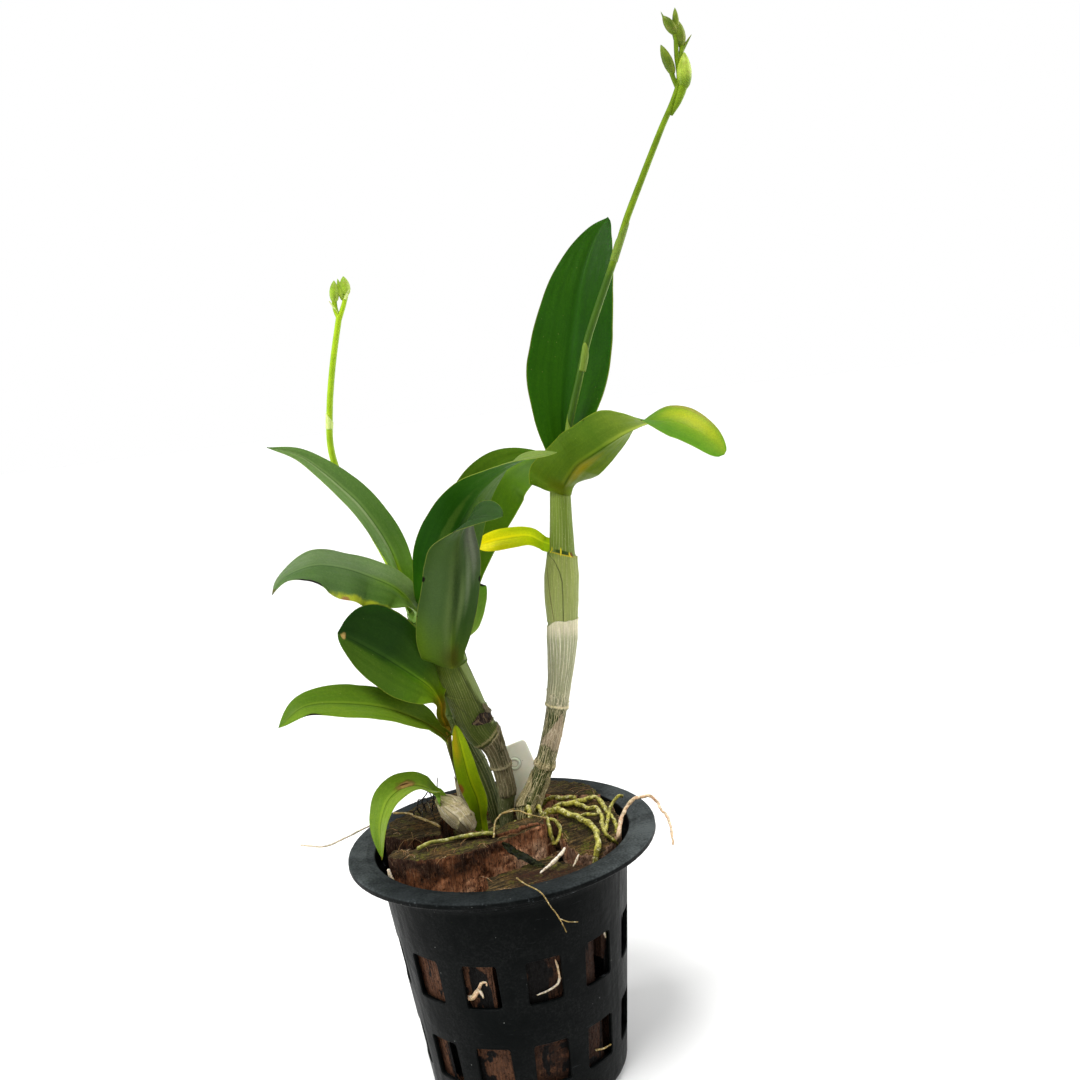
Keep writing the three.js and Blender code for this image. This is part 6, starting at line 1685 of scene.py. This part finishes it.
def make_husk():
    """Chips of husk: wedges low in the pot, blocks on top, and fine fibres along the blocks' edges."""
    look = husk_look()
    seed = 200
    for name, (level, angles) in HUSK_WEDGES.items():
        for i, start in enumerate(angles):
            end = angles[i + 1] if i + 1 < len(angles) else angles[0] + 360
            first = math.radians(start) + WEDGE_GAP / WEDGE_REACH
            width = math.radians(end - start) - 2 * WEDGE_GAP / WEDGE_REACH
            places = [(math.radians((start + end) / 2), WEDGE_TIP)]
            places += [(first + width * k / 10, WEDGE_REACH) for k in range(11)]
            outline = [(math.sin(turn) * radius, -math.cos(turn) * radius) for turn, radius in places]
            mesh = husk_block(f"{name}_{i + 1}_chip", outline, level, (0, 0), seed, 0.8, 1.0)
            mesh.materials.append(look)
            add_piece(mesh.name, mesh, [f"{name}_{i + 1}"])
            seed += 10
    for name, (outline, level, slope) in HUSK_CHUNKS.items():
        mesh = husk_block(f"{name}_chip", outline, level, slope, seed, 0.5)
        mesh.materials.append(look)
        add_piece(mesh.name, mesh, [name])
        seed += 10
    # the raised sliver along the front chip, and fine fibres that stand off the edges
    shape = Shape()
    bar(shape, [(-14, -12, 84.2), (-7.5, -11.8, 84.7), (0, -12.2, 84.8), (6, -10.4, 84.9), (11.5, -8.2, 84.8),
                (13.2, -7.2, 84.2)],
        (0.5, 0.8, 1.0, 1.1, 0.7), 16, 0, step=0.3, wobble=0.5, seed=301, wander=0.5, lumps=0.3)
    fibre = root_look("loose_fibre", (150, 106, 66), (104, 66, 38), (50, 30, 18), (186, 146, 100))
    random = np.random.default_rng(7)
    for name, (outline, (_, top), slope) in HUSK_CHUNKS.items():
        edge = refine(outline, 1.0)
        heart = edge.mean(0)
        for _ in range(26 if name == "husk_front" else 14):
            x, y = edge[random.integers(len(edge))]
            out = unit(np.array([x, y]) - heart)
            x, y = np.array([x, y]) - out * random.uniform(0.2, 3.0)
            z = top + slope[0] * x + slope[1] * y
            way = random.uniform(0, TAU)
            ahead = np.array([math.cos(way), math.sin(way), 0.0])
            length = random.uniform(2.5, 8.0)
            start = np.array([x, y, z - 0.3])
            rise = random.uniform(0.4, 1.3)
            bent = np.cross(ahead, (0, 0, 1)) * random.uniform(-1.5, 1.5)
            line = [start]
            for share, sideways, lift in ((0.4, 0.6, rise), (0.8, 1, rise * 0.8), (1, 0.4, rise * 0.2 - 0.3)):
                line.append(start + ahead * length * share + bent * sideways + (0, 0, lift))
            far = max(math.hypot(*point[:2]) for point in line)
            if far < 38.5:
                bar(shape, line, (0.09, 0.06), 5, 1, step=0.7, seed=int(random.integers(1000)), wander=0.3)
    shape.piece("husk_loose_fibres", [look, fibre], "husk")


def make_scrap():
    """A crumpled dark green scrap of leaf in the gap at the right front."""
    path = Path([(0.8, -18.6, 84.2), (3.5, -19.5, 82.0), (7.0, -19.6, 79.4), (10.5, -20.0, 77.0),
                 (13.0, -20.6, 76.2)])
    u = np.linspace(0, 1, 60)
    centre, along = path.at(u), path.along(u)
    across = unit(np.cross(along, (0.3, -0.8, 0.5)))
    lanes = np.linspace(-1, 1, 21)
    half = 1.3 * np.sin(math.pi * np.clip(u * 0.92 + 0.06, 0, 1)) ** 0.6
    a, b = np.meshgrid(u * path.length, lanes * 2.0, indexing="ij")
    crumple = 0.9 * noise2(a * 0.45, b * 0.45, 401, 3) + 0.35 * noise2(a * 1.4, b * 1.4, 402, 2)
    edge = 1 + 0.3 * noise2(a * 0.9, np.sign(b) * 0.9, 403, 2)
    middle = centre[:, None] + across[:, None] * (half[:, None] * lanes[None, :] * edge)[..., None]
    normal = np.cross(across, along)
    middle = middle + normal[:, None] * crumple[..., None]
    shape = Shape()
    places = u[:, None], (lanes[None, :] + 1) / 2
    top = shape.grid(middle + normal[:, None] * 0.1, *places)
    low = shape.grid(middle - normal[:, None] * 0.1, *places, flip=True)
    shape.seam(margins(top, low))
    look = Look("old_leaf_scrap")
    blotch, fine = look.noise(look.where, 0.7, 4, 0.65), look.noise(look.where, 3.0, 3, 0.6)
    colour = look.ramp(blotch, (0.35, (10, 12, 5)), (0.5, (20, 24, 7)), (0.62, (40, 44, 14)),
                       (0.75, (80, 74, 32)))
    colour = look.mix(look.ease(fine, 0.5, 0.7, 0.0, 0.4), colour, (30, 24, 12))
    look.finish(colour, look.ease(fine, 0.3, 0.7, 0.45, 0.7), look.bump(fine, 0.15), 0.12)
    shape.piece("old_leaf_scrap", [look.material], "husk")


# ---- Net pot ----

COLUMNS = 240
POT_WALL = dict(foot=(4, 32.0), top=(73, 39.4), thick=1.5)
WINDOWS = dict(count=12, width=10.6, rows=[(12.5, 26.5), (40.3, 54.5)], corner=0.9)
SLOTS = dict(count=8, width=3.0, reach=(13, 26), corner=1.2)
CHAMFER = 0.3
FLOOR = 1.8
SPARE = 1.3  # how far the rows round a window pass its edges
SPAN = 7  # columns from the middle of an opening to the edge of its frame


def corner_arc(centre, radius, start, end, steps=4):
    """Points of an arc between two angles in degrees."""
    angles = np.radians(np.linspace(start, end, steps + 1))
    return [(centre[0] + radius * math.cos(a), centre[1] + radius * math.sin(a)) for a in angles]


def wall_radius(z, inner=False):
    """The pot's radius at a height, outside or inside."""
    (z0, r0), (z1, r1) = POT_WALL["foot"], POT_WALL["top"]
    return r0 + (r1 - r0) * (z - z0) / (z1 - z0) - (POT_WALL["thick"] if inner else 0)


def opening_rows(low, high, spare, count=8):
    """Heights, or radii in the floor, of the rows that frame an opening."""
    return [low - spare + (high - low + 2 * spare) * k / count for k in range(count + 1)]


def pull_in(a, b, half_a, half_b, corner):
    """The nearest point of a rounded rectangle to a point of the rectangle round it."""
    ca = np.clip(a, -(half_a - corner), half_a - corner)
    cb = np.clip(b, -(half_b - corner), half_b - corner)
    da, db = a - ca, b - cb
    away = math.hypot(da, db)
    return ca + da / away * corner, cb + db / away * corner


def make_pot():
    """One profile spun round, with framed openings cut through both of its walls."""
    wall_rows = [4.0, 8.0]
    for low, high in WINDOWS["rows"]:
        wall_rows += opening_rows(low, high, SPARE)
    wall_rows = sorted({*wall_rows, 31.0, 35.5, 60.0, 66.0, 71.0})
    slot_rows = opening_rows(*SLOTS["reach"], 1.0)
    line = [(r, 0.0) for r in (0.6, 6.0, *slot_rows)]
    line += [(28.0, 0.0), (29.2, 0.12), (30.4, 0.5), (31.2, 1.2), (31.7, 2.2), (31.9, 3.0)]
    first_wall = len(line)
    line += [(wall_radius(z), z) for z in wall_rows]
    line += [(39.4, 72.7), (39.7, 73.0), (40.8, 73.5), (41.3, 73.9), (41.5, 74.5), (41.5, 77.2), (41.8, 77.6),
             (42.4, 77.8)]
    line += [(48.2, 77.8), *corner_arc((48.3, 78.5), 0.7, -70, 0), (49.0, 79.2),
             *corner_arc((48.2, 79.2), 0.8, 10, 90)]
    line += [(46.0, 80.0), (43.4, 80.0), (43.0, 79.92), (42.7, 79.68), (42.3, 79.6), (41.0, 79.6),
             (40.7, 79.52), (40.5, 79.3), (40.4, 79.0)]
    line += [(40.4, 75.0), (40.2, 74.5), (38.2, 73.2)]
    first_inner = len(line)
    inner_rows = [z for z in reversed(wall_rows) if z > 4.5]
    line += [(wall_radius(z, True), z) for z in inner_rows]
    line += [(30.3, 5.0), (29.6, 3.0), (28.4, 2.0), (28.0, FLOOR)]
    first_floor = len(line)
    line += [(r, FLOOR) for r in (*reversed(slot_rows), 6.0, 0.6)]
    profile = np.array(line)
    angles = np.arange(COLUMNS) / COLUMNS * TAU
    ring_way = np.stack([np.sin(angles), -np.cos(angles)], -1)
    points = np.empty((len(profile), COLUMNS, 3))
    points[..., :2] = ring_way[None] * profile[:, 0, None, None]
    points[..., 2] = profile[:, 1, None]
    # knocks along the rim's outer edge
    knock = around(angles[None], 22, 500, 3)
    edge = ease(profile[:, 0], 48.2, 48.9)[:, None]
    points[..., :2] *= (1 - 0.004 * edge * np.clip(knock - 0.15, 0, 1))[..., None]
    shape = Shape()
    ids = np.arange(points.size // 3).reshape(points.shape[:2])
    reach = np.concatenate([[0], np.cumsum(np.hypot(*np.diff(profile, axis=0).T))])
    per_window, per_slot = COLUMNS // WINDOWS["count"], COLUMNS // SLOTS["count"]
    row_of = {round(z, 4): first_wall + i for i, z in enumerate(wall_rows)}
    inner_of = {round(z, 4): first_inner + i for i, z in enumerate(inner_rows)}
    holes = []  # of what kind, middle column, rows outside and inside, and where it starts and ends
    for low, high in WINDOWS["rows"]:
        heights = [round(z, 4) for z in opening_rows(low, high, SPARE)]
        rows = [row_of[z] for z in heights], [inner_of[z] for z in heights]
        holes += [("wall", int((k + 0.5) * per_window), *rows, low, high) for k in range(WINDOWS["count"])]
    rows = range(2, 2 + len(slot_rows)), range(first_floor + len(slot_rows) - 1, first_floor - 1, -1)
    holes += [("floor", k * per_slot, *rows, *SLOTS["reach"]) for k in range(SLOTS["count"])]
    cut = np.zeros((len(profile) - 1, COLUMNS), bool)
    for _, middle, *both_rows, _, _ in holes:
        columns = np.arange(middle - SPAN, middle + SPAN) % COLUMNS
        for rows in both_rows:
            cut[np.ix_(range(min(rows), max(rows)), columns)] = True
    shape.points.append(points.reshape(-1, 3))
    shape.count = ids.size
    for i, j in zip(*np.nonzero(~cut)):
        j2 = (j + 1) % COLUMNS
        shape.face((ids[i, j], ids[i, j2], ids[i + 1, j2], ids[i + 1, j]), (reach[i] / 100, j / COLUMNS))
    shape.face(ids[0, ::-1])
    shape.face(ids[-1])
    for kind, middle, out_rows, in_rows, low, high in holes:
        turn = middle / COLUMNS * TAU
        left, right = middle - SPAN, middle + SPAN
        rows = list(range(len(out_rows)))
        loop = [(0, c) for c in range(left, right)] + [(r, right) for r in rows[:-1]]
        loop += [(rows[-1], c) for c in range(right, left, -1)] + [(r, left) for r in reversed(rows[1:])]
        opening = WINDOWS if kind == "wall" else SLOTS
        half_a, half_b, corner = opening["width"] / 2, (high - low) / 2, opening["corner"]

        def place(a, b, inner, deeper):
            """Across and up the opening's middle, in its outer or inner wall and so far into that wall."""
            h = (low + high) / 2 + b
            if kind == "wall":
                radius = wall_radius(h, inner) + (deeper if inner else -deeper)
                local = (a, -math.sqrt(radius**2 - a * a), h)
            else:
                local = (a, -h, FLOOR - deeper if inner else deeper)
            c, s = math.cos(turn), math.sin(turn)
            return (local[0] * c - local[1] * s, local[0] * s + local[1] * c, local[2])

        rings = [[], [], [], []]
        outside, inside = [], []
        for row, column in loop:
            outside.append(ids[out_rows[row], column % COLUMNS])
            inside.append(ids[in_rows[row], column % COLUMNS])
            x, y, z = points[out_rows[row], column % COLUMNS]
            c, s = math.cos(-turn), math.sin(-turn)
            a, back = x * c - y * s, x * s + y * c
            b = (z if kind == "wall" else -back) - (low + high) / 2
            for ring_index, (grow, inner, deeper) in enumerate(
                ((CHAMFER, False, 0), (0, False, CHAMFER), (0, True, CHAMFER), (CHAMFER, True, 0))
            ):
                pa, pb = pull_in(a, b, half_a + grow, half_b + grow, corner + grow)
                rings[ring_index].append(place(pa, pb, inner, deeper))
        base = shape.count
        shape.points.append(np.array([p for one in rings for p in one]))
        size = len(loop)
        shape.count += 4 * size
        loops = [outside, *[[base + k * size + i for i in range(size)] for k in range(4)], inside]
        for first, second in zip(loops, loops[1:]):
            for i in range(size):
                j = (i + 1) % size
                shape.face((first[i], first[j], second[j], second[i]),
                           (reach[out_rows[0]] / 100, middle / COLUMNS))
    mesh = shape.mesh("net_pot", [pot_look()], sharp=40)
    work = bmesh.new()
    work.from_mesh(mesh)
    bmesh.ops.recalc_face_normals(work, faces=work.faces)
    work.to_mesh(mesh)
    work.free()
    add_piece("net_pot", mesh, ["pot"])


def pot_look():
    """Black recycled plastic: satin, scratched, dusty on top with a painted sheen, and scuffed along its
    edges.
    """
    look = Look("pot_plastic")
    reach = look.away(look.x, look.y)
    fine = look.noise(look.where, 1.4, 4, 0.6)
    cloud = look.noise(look.where, 0.07, 4, 0.6)
    streak = look.noise(look.where, (0.5, 0.5, 0.04), 3, 0.6)
    scratch = look.noise(look.where, (0.16, 0.16, 3.5), 3, 0.7, 0.4)
    top = look.times(look.ease(look.z, 79.2, 79.7), look.ease(reach, 40.2, 41.0))
    colour = look.mix(look.ease(cloud, 0.3, 0.7), (2, 4, 4), (6, 8, 8))
    dust = look.times(look.ease(fine, 0.4, 0.7), look.ease(cloud, 0.35, 0.65))
    # the rim's top, grey in patches of dust and with a painted sheen that is paler to both sides
    dust_and_sheen = look.ease(look.add(look.times(fine, 0.4), look.times(cloud, 0.6)), 0.36, 0.62, 0.3, 1.0)
    dust_and_sheen = look.times(top, dust_and_sheen)
    ends = look.most(look.ease(look.x, 14, 40), look.ease(look.x, -30, -46))  # the rim is paler to both sides
    colour = look.mix(dust_and_sheen, colour, look.mix(ends, (36, 40, 41), (74, 79, 79)))
    colour = look.mix(look.times(dust, 0.05), colour, (90, 92, 90))
    outer_edge = look.times(look.ease(reach, 48.2, 48.9), look.ease(look.z, 76, 77))
    worn = look.times(outer_edge, look.ease(look.noise(look.where, 0.9, 4, 0.7), 0.6, 0.72))
    colour = look.mix(look.times(worn, 0.4), colour, (84, 90, 92))
    collar = look.times(look.band(look.z, 73.1, 74.1, 0.3),
                        look.ease(look.noise(look.where, 0.6, 4, 0.7), 0.56, 0.66))
    colour = look.mix(look.times(collar, 0.5), colour, (96, 100, 102))
    lines = look.times(look.ease(scratch, 0.68, 0.72), 0.25)
    colour = look.mix(lines, colour, (84, 88, 90))
    specks = look.specks(look.where, 0.22, 0.025, 0.05)
    colour = look.mix(look.times(specks, 0.6), colour, (120, 122, 118))
    rough = look.ease(streak, 0.3, 0.7, 0.34, 0.5)
    rough = look.blend(top, rough, 0.62)
    rough = look.blend(look.most(worn, lines), rough, 0.75)
    normal = look.bump(look.noise(look.where, 0.35, 3, 0.5), 0.18)
    normal = look.bump(look.noise(look.where, 5.0, 3, 0.6), 0.025, normal)
    normal = look.bump(scratch, 0.03, normal)
    return look.finish(colour, rough, normal, 0.035)


# ---- Plant label ----


def make_label():
    """A blank, slightly bowed tag that leans to the left, with a small ring moulded on its front."""
    width, height, corner, lean = 13.0, 34.0, 1.5, math.radians(16)
    foot = np.array([13.1, 26.4, 67.0])
    right, up = np.array([math.cos(lean), 0, math.sin(lean)]), np.array([-math.sin(lean), 0, math.cos(lean)])
    out = np.array([0, -1.0, 0])
    half, shoulder = width / 2, height * 0.3
    outline = [(0, 0), (half, shoulder), *corner_arc((half - corner, height - corner), corner, 0, 90, 6),
               *corner_arc((-half + corner, height - corner), corner, 90, 180, 6), (-half, shoulder)]
    outline = refine(outline, 1.5)
    centre = np.array([0, height * 0.6])
    shape = Shape()
    rings = []
    edge = [(4.0, 0.4), (1.0, 0.4), (0.18, 0.4), (0.0, 0.25)]  # inset and depth, from the front to the margin
    for inset, depth in (*edge, *((inset, -depth) for inset, depth in reversed(edge))):
        flat = centre + (outline - centre) * (1 - inset / half)
        bow = 0.25 * (flat[:, 0] / half) ** 2
        rings.append(foot + right * flat[:, :1] + up * flat[:, 1:] + out * (depth - bow)[:, None])
    ids = shape.grid(np.array(rings), wrap=True)
    shape.face(ids[0, :-1][::-1])
    shape.face(ids[-1, :-1])
    boss = foot + right * -0.1 + up * 27.4 + out * 0.35
    turn = np.arange(36) / 36 * TAU
    tube = np.arange(10) / 10 * TAU
    aside = (right[None] * np.cos(turn)[:, None] + up[None] * np.sin(turn)[:, None])[:, None]
    wide, deep = 1.75 + 0.42 * np.cos(tube), 0.42 * np.sin(tube)
    points = boss + aside * wide[None, :, None] + out * deep[None, :, None]
    shape.grid(np.concatenate([points, points[:1]]), wrap=True)
    look = Look("label_plastic")
    cloud = look.noise(look.where, 0.16, 4, 0.6)
    fine = look.noise(look.where, 1.8, 3, 0.6)
    colour = look.mix(look.ease(cloud, 0.35, 0.7), (248, 248, 228), (236, 236, 212))
    soil = look.ease(look.add(look.z, look.times(fine, 6.0)), 87, 80, 0.0, 0.7)
    colour = look.mix(soil, colour, (140, 128, 98))
    # painted shade round the inner and outer edges of the moulded ring
    aside, above = look.less(look.x, float(boss[0])), look.less(look.z, float(boss[2]))
    away = look.away(aside, above)
    rim = look.most(look.band(away, 2.1, 2.5, 0.15), look.band(away, 1.0, 1.4, 0.15))
    colour = look.mix(look.times(rim, 0.5), colour, (160, 158, 134))
    specks = look.specks(look.where, 0.4, 0.05, 0.1)
    colour = look.mix(look.times(specks, 0.4), colour, (120, 116, 96))
    normal = look.bump(fine, 0.04)
    look.finish(colour, look.ease(cloud, 0.3, 0.7, 0.34, 0.5), normal, glow=0.15)
    shape.piece("plant_label_tag", [look.material], "label", ["plant_label"])


# ---- Floor and light ----


def make_stage():
    """A plain floor that runs out to the horizon."""
    shape = Shape()
    radii = np.array([0.001, 400, 1500, 4000, 8000.0])
    angles = np.arange(64) / 64 * TAU
    x, y = radii[:, None] * np.cos(angles), radii[:, None] * np.sin(angles)
    shape.grid(np.stack([x, y, np.full(x.shape, -0.05)], -1), wrap=True)  # just below the pot's foot
    look = Look("floor_paint")
    cloud = look.noise(look.where, 0.02, 3, 0.5)
    colour = look.mix(cloud, (238, 238, 237), (242, 242, 241))
    look.finish(colour, 0.7, look.bump(look.noise(look.where, 1.5, 2), 0.02))
    mesh = shape.mesh("floor", [look.material])
    floor = bpy.data.objects.new("floor", mesh)
    bpy.context.scene.collection.objects.link(floor)


def make_light():
    """A white background to the camera, a soft sky to the plant, two suns and two strips."""
    scene = bpy.context.scene
    scene.view_settings.view_transform = "Standard"
    scene.view_settings.look = "None"
    world = bpy.data.worlds.new("studio")
    world.use_nodes = True
    tree = world.node_tree
    tree.nodes.clear()
    output = tree.nodes.new("ShaderNodeOutputWorld")
    seen, lit = tree.nodes.new("ShaderNodeBackground"), tree.nodes.new("ShaderNodeBackground")
    seen.inputs[0].default_value = (1.0, 1.0, 1.0, 1)
    coords = tree.nodes.new("ShaderNodeTexCoord")
    parts = tree.nodes.new("ShaderNodeSeparateXYZ")
    ramp = tree.nodes.new("ShaderNodeValToRGB")
    tree.links.new(coords.outputs["Generated"], parts.inputs[0])
    shift = tree.nodes.new("ShaderNodeMath")
    shift.operation = "MULTIPLY_ADD"
    shift.inputs[1].default_value, shift.inputs[2].default_value = 0.5, 0.5
    tree.links.new(parts.outputs[2], shift.inputs[0])
    tree.links.new(shift.outputs[0], ramp.inputs[0])
    elements = ramp.color_ramp.elements
    elements[0].position, elements[0].color = 0.45, (0.16, 0.165, 0.17, 1)
    elements[1].position, elements[1].color = 0.95, (1.0, 1.0, 1.0, 1)
    tree.links.new(ramp.outputs[0], lit.inputs[0])
    lit.inputs[1].default_value = 0.75
    which, mixer = tree.nodes.new("ShaderNodeLightPath"), tree.nodes.new("ShaderNodeMixShader")
    tree.links.new(which.outputs["Is Camera Ray"], mixer.inputs[0])
    tree.links.new(lit.outputs[0], mixer.inputs[1])
    tree.links.new(seen.outputs[0], mixer.inputs[2])
    tree.links.new(mixer.outputs[0], output.inputs[0])
    scene.world = world
    for name, towards, strength, spread_angle in (
        ("key", (0.22, 0.42, -1.0), 2.9, 24),
        ("fill", (-0.4, 0.9, -0.3), 0.5, 70),
    ):
        data = bpy.data.lights.new(name, "SUN")
        data.energy = strength
        data.angle = math.radians(spread_angle)
        lamp = bpy.data.objects.new(name, data)
        lamp.rotation_mode = "QUATERNION"
        lamp.rotation_quaternion = Vector(towards).to_track_quat("-Z", "Y")
        scene.collection.objects.link(lamp)
    for name, place, size, energy in (
        ("strip_left", (-0.9, -0.15, 0.35), (0.25, 0.9), 6.0),
        ("strip_right", (0.95, 0.25, 0.4), (0.3, 0.9), 6.0),
    ):
        data = bpy.data.lights.new(name, "AREA")
        data.shape = "RECTANGLE"
        data.size, data.size_y = size
        data.energy = energy
        lamp = bpy.data.objects.new(name, data)
        lamp.location = place
        lamp.rotation_mode = "QUATERNION"
        lamp.rotation_quaternion = (Vector((0, 0, 0.12)) - Vector(place)).to_track_quat("-Z", "Y")
        scene.collection.objects.link(lamp)


make_leaves()
make_canes()
make_spikes()
make_roots()
make_husk()
make_scrap()
make_pot()
make_label()
make_stage()
make_light()
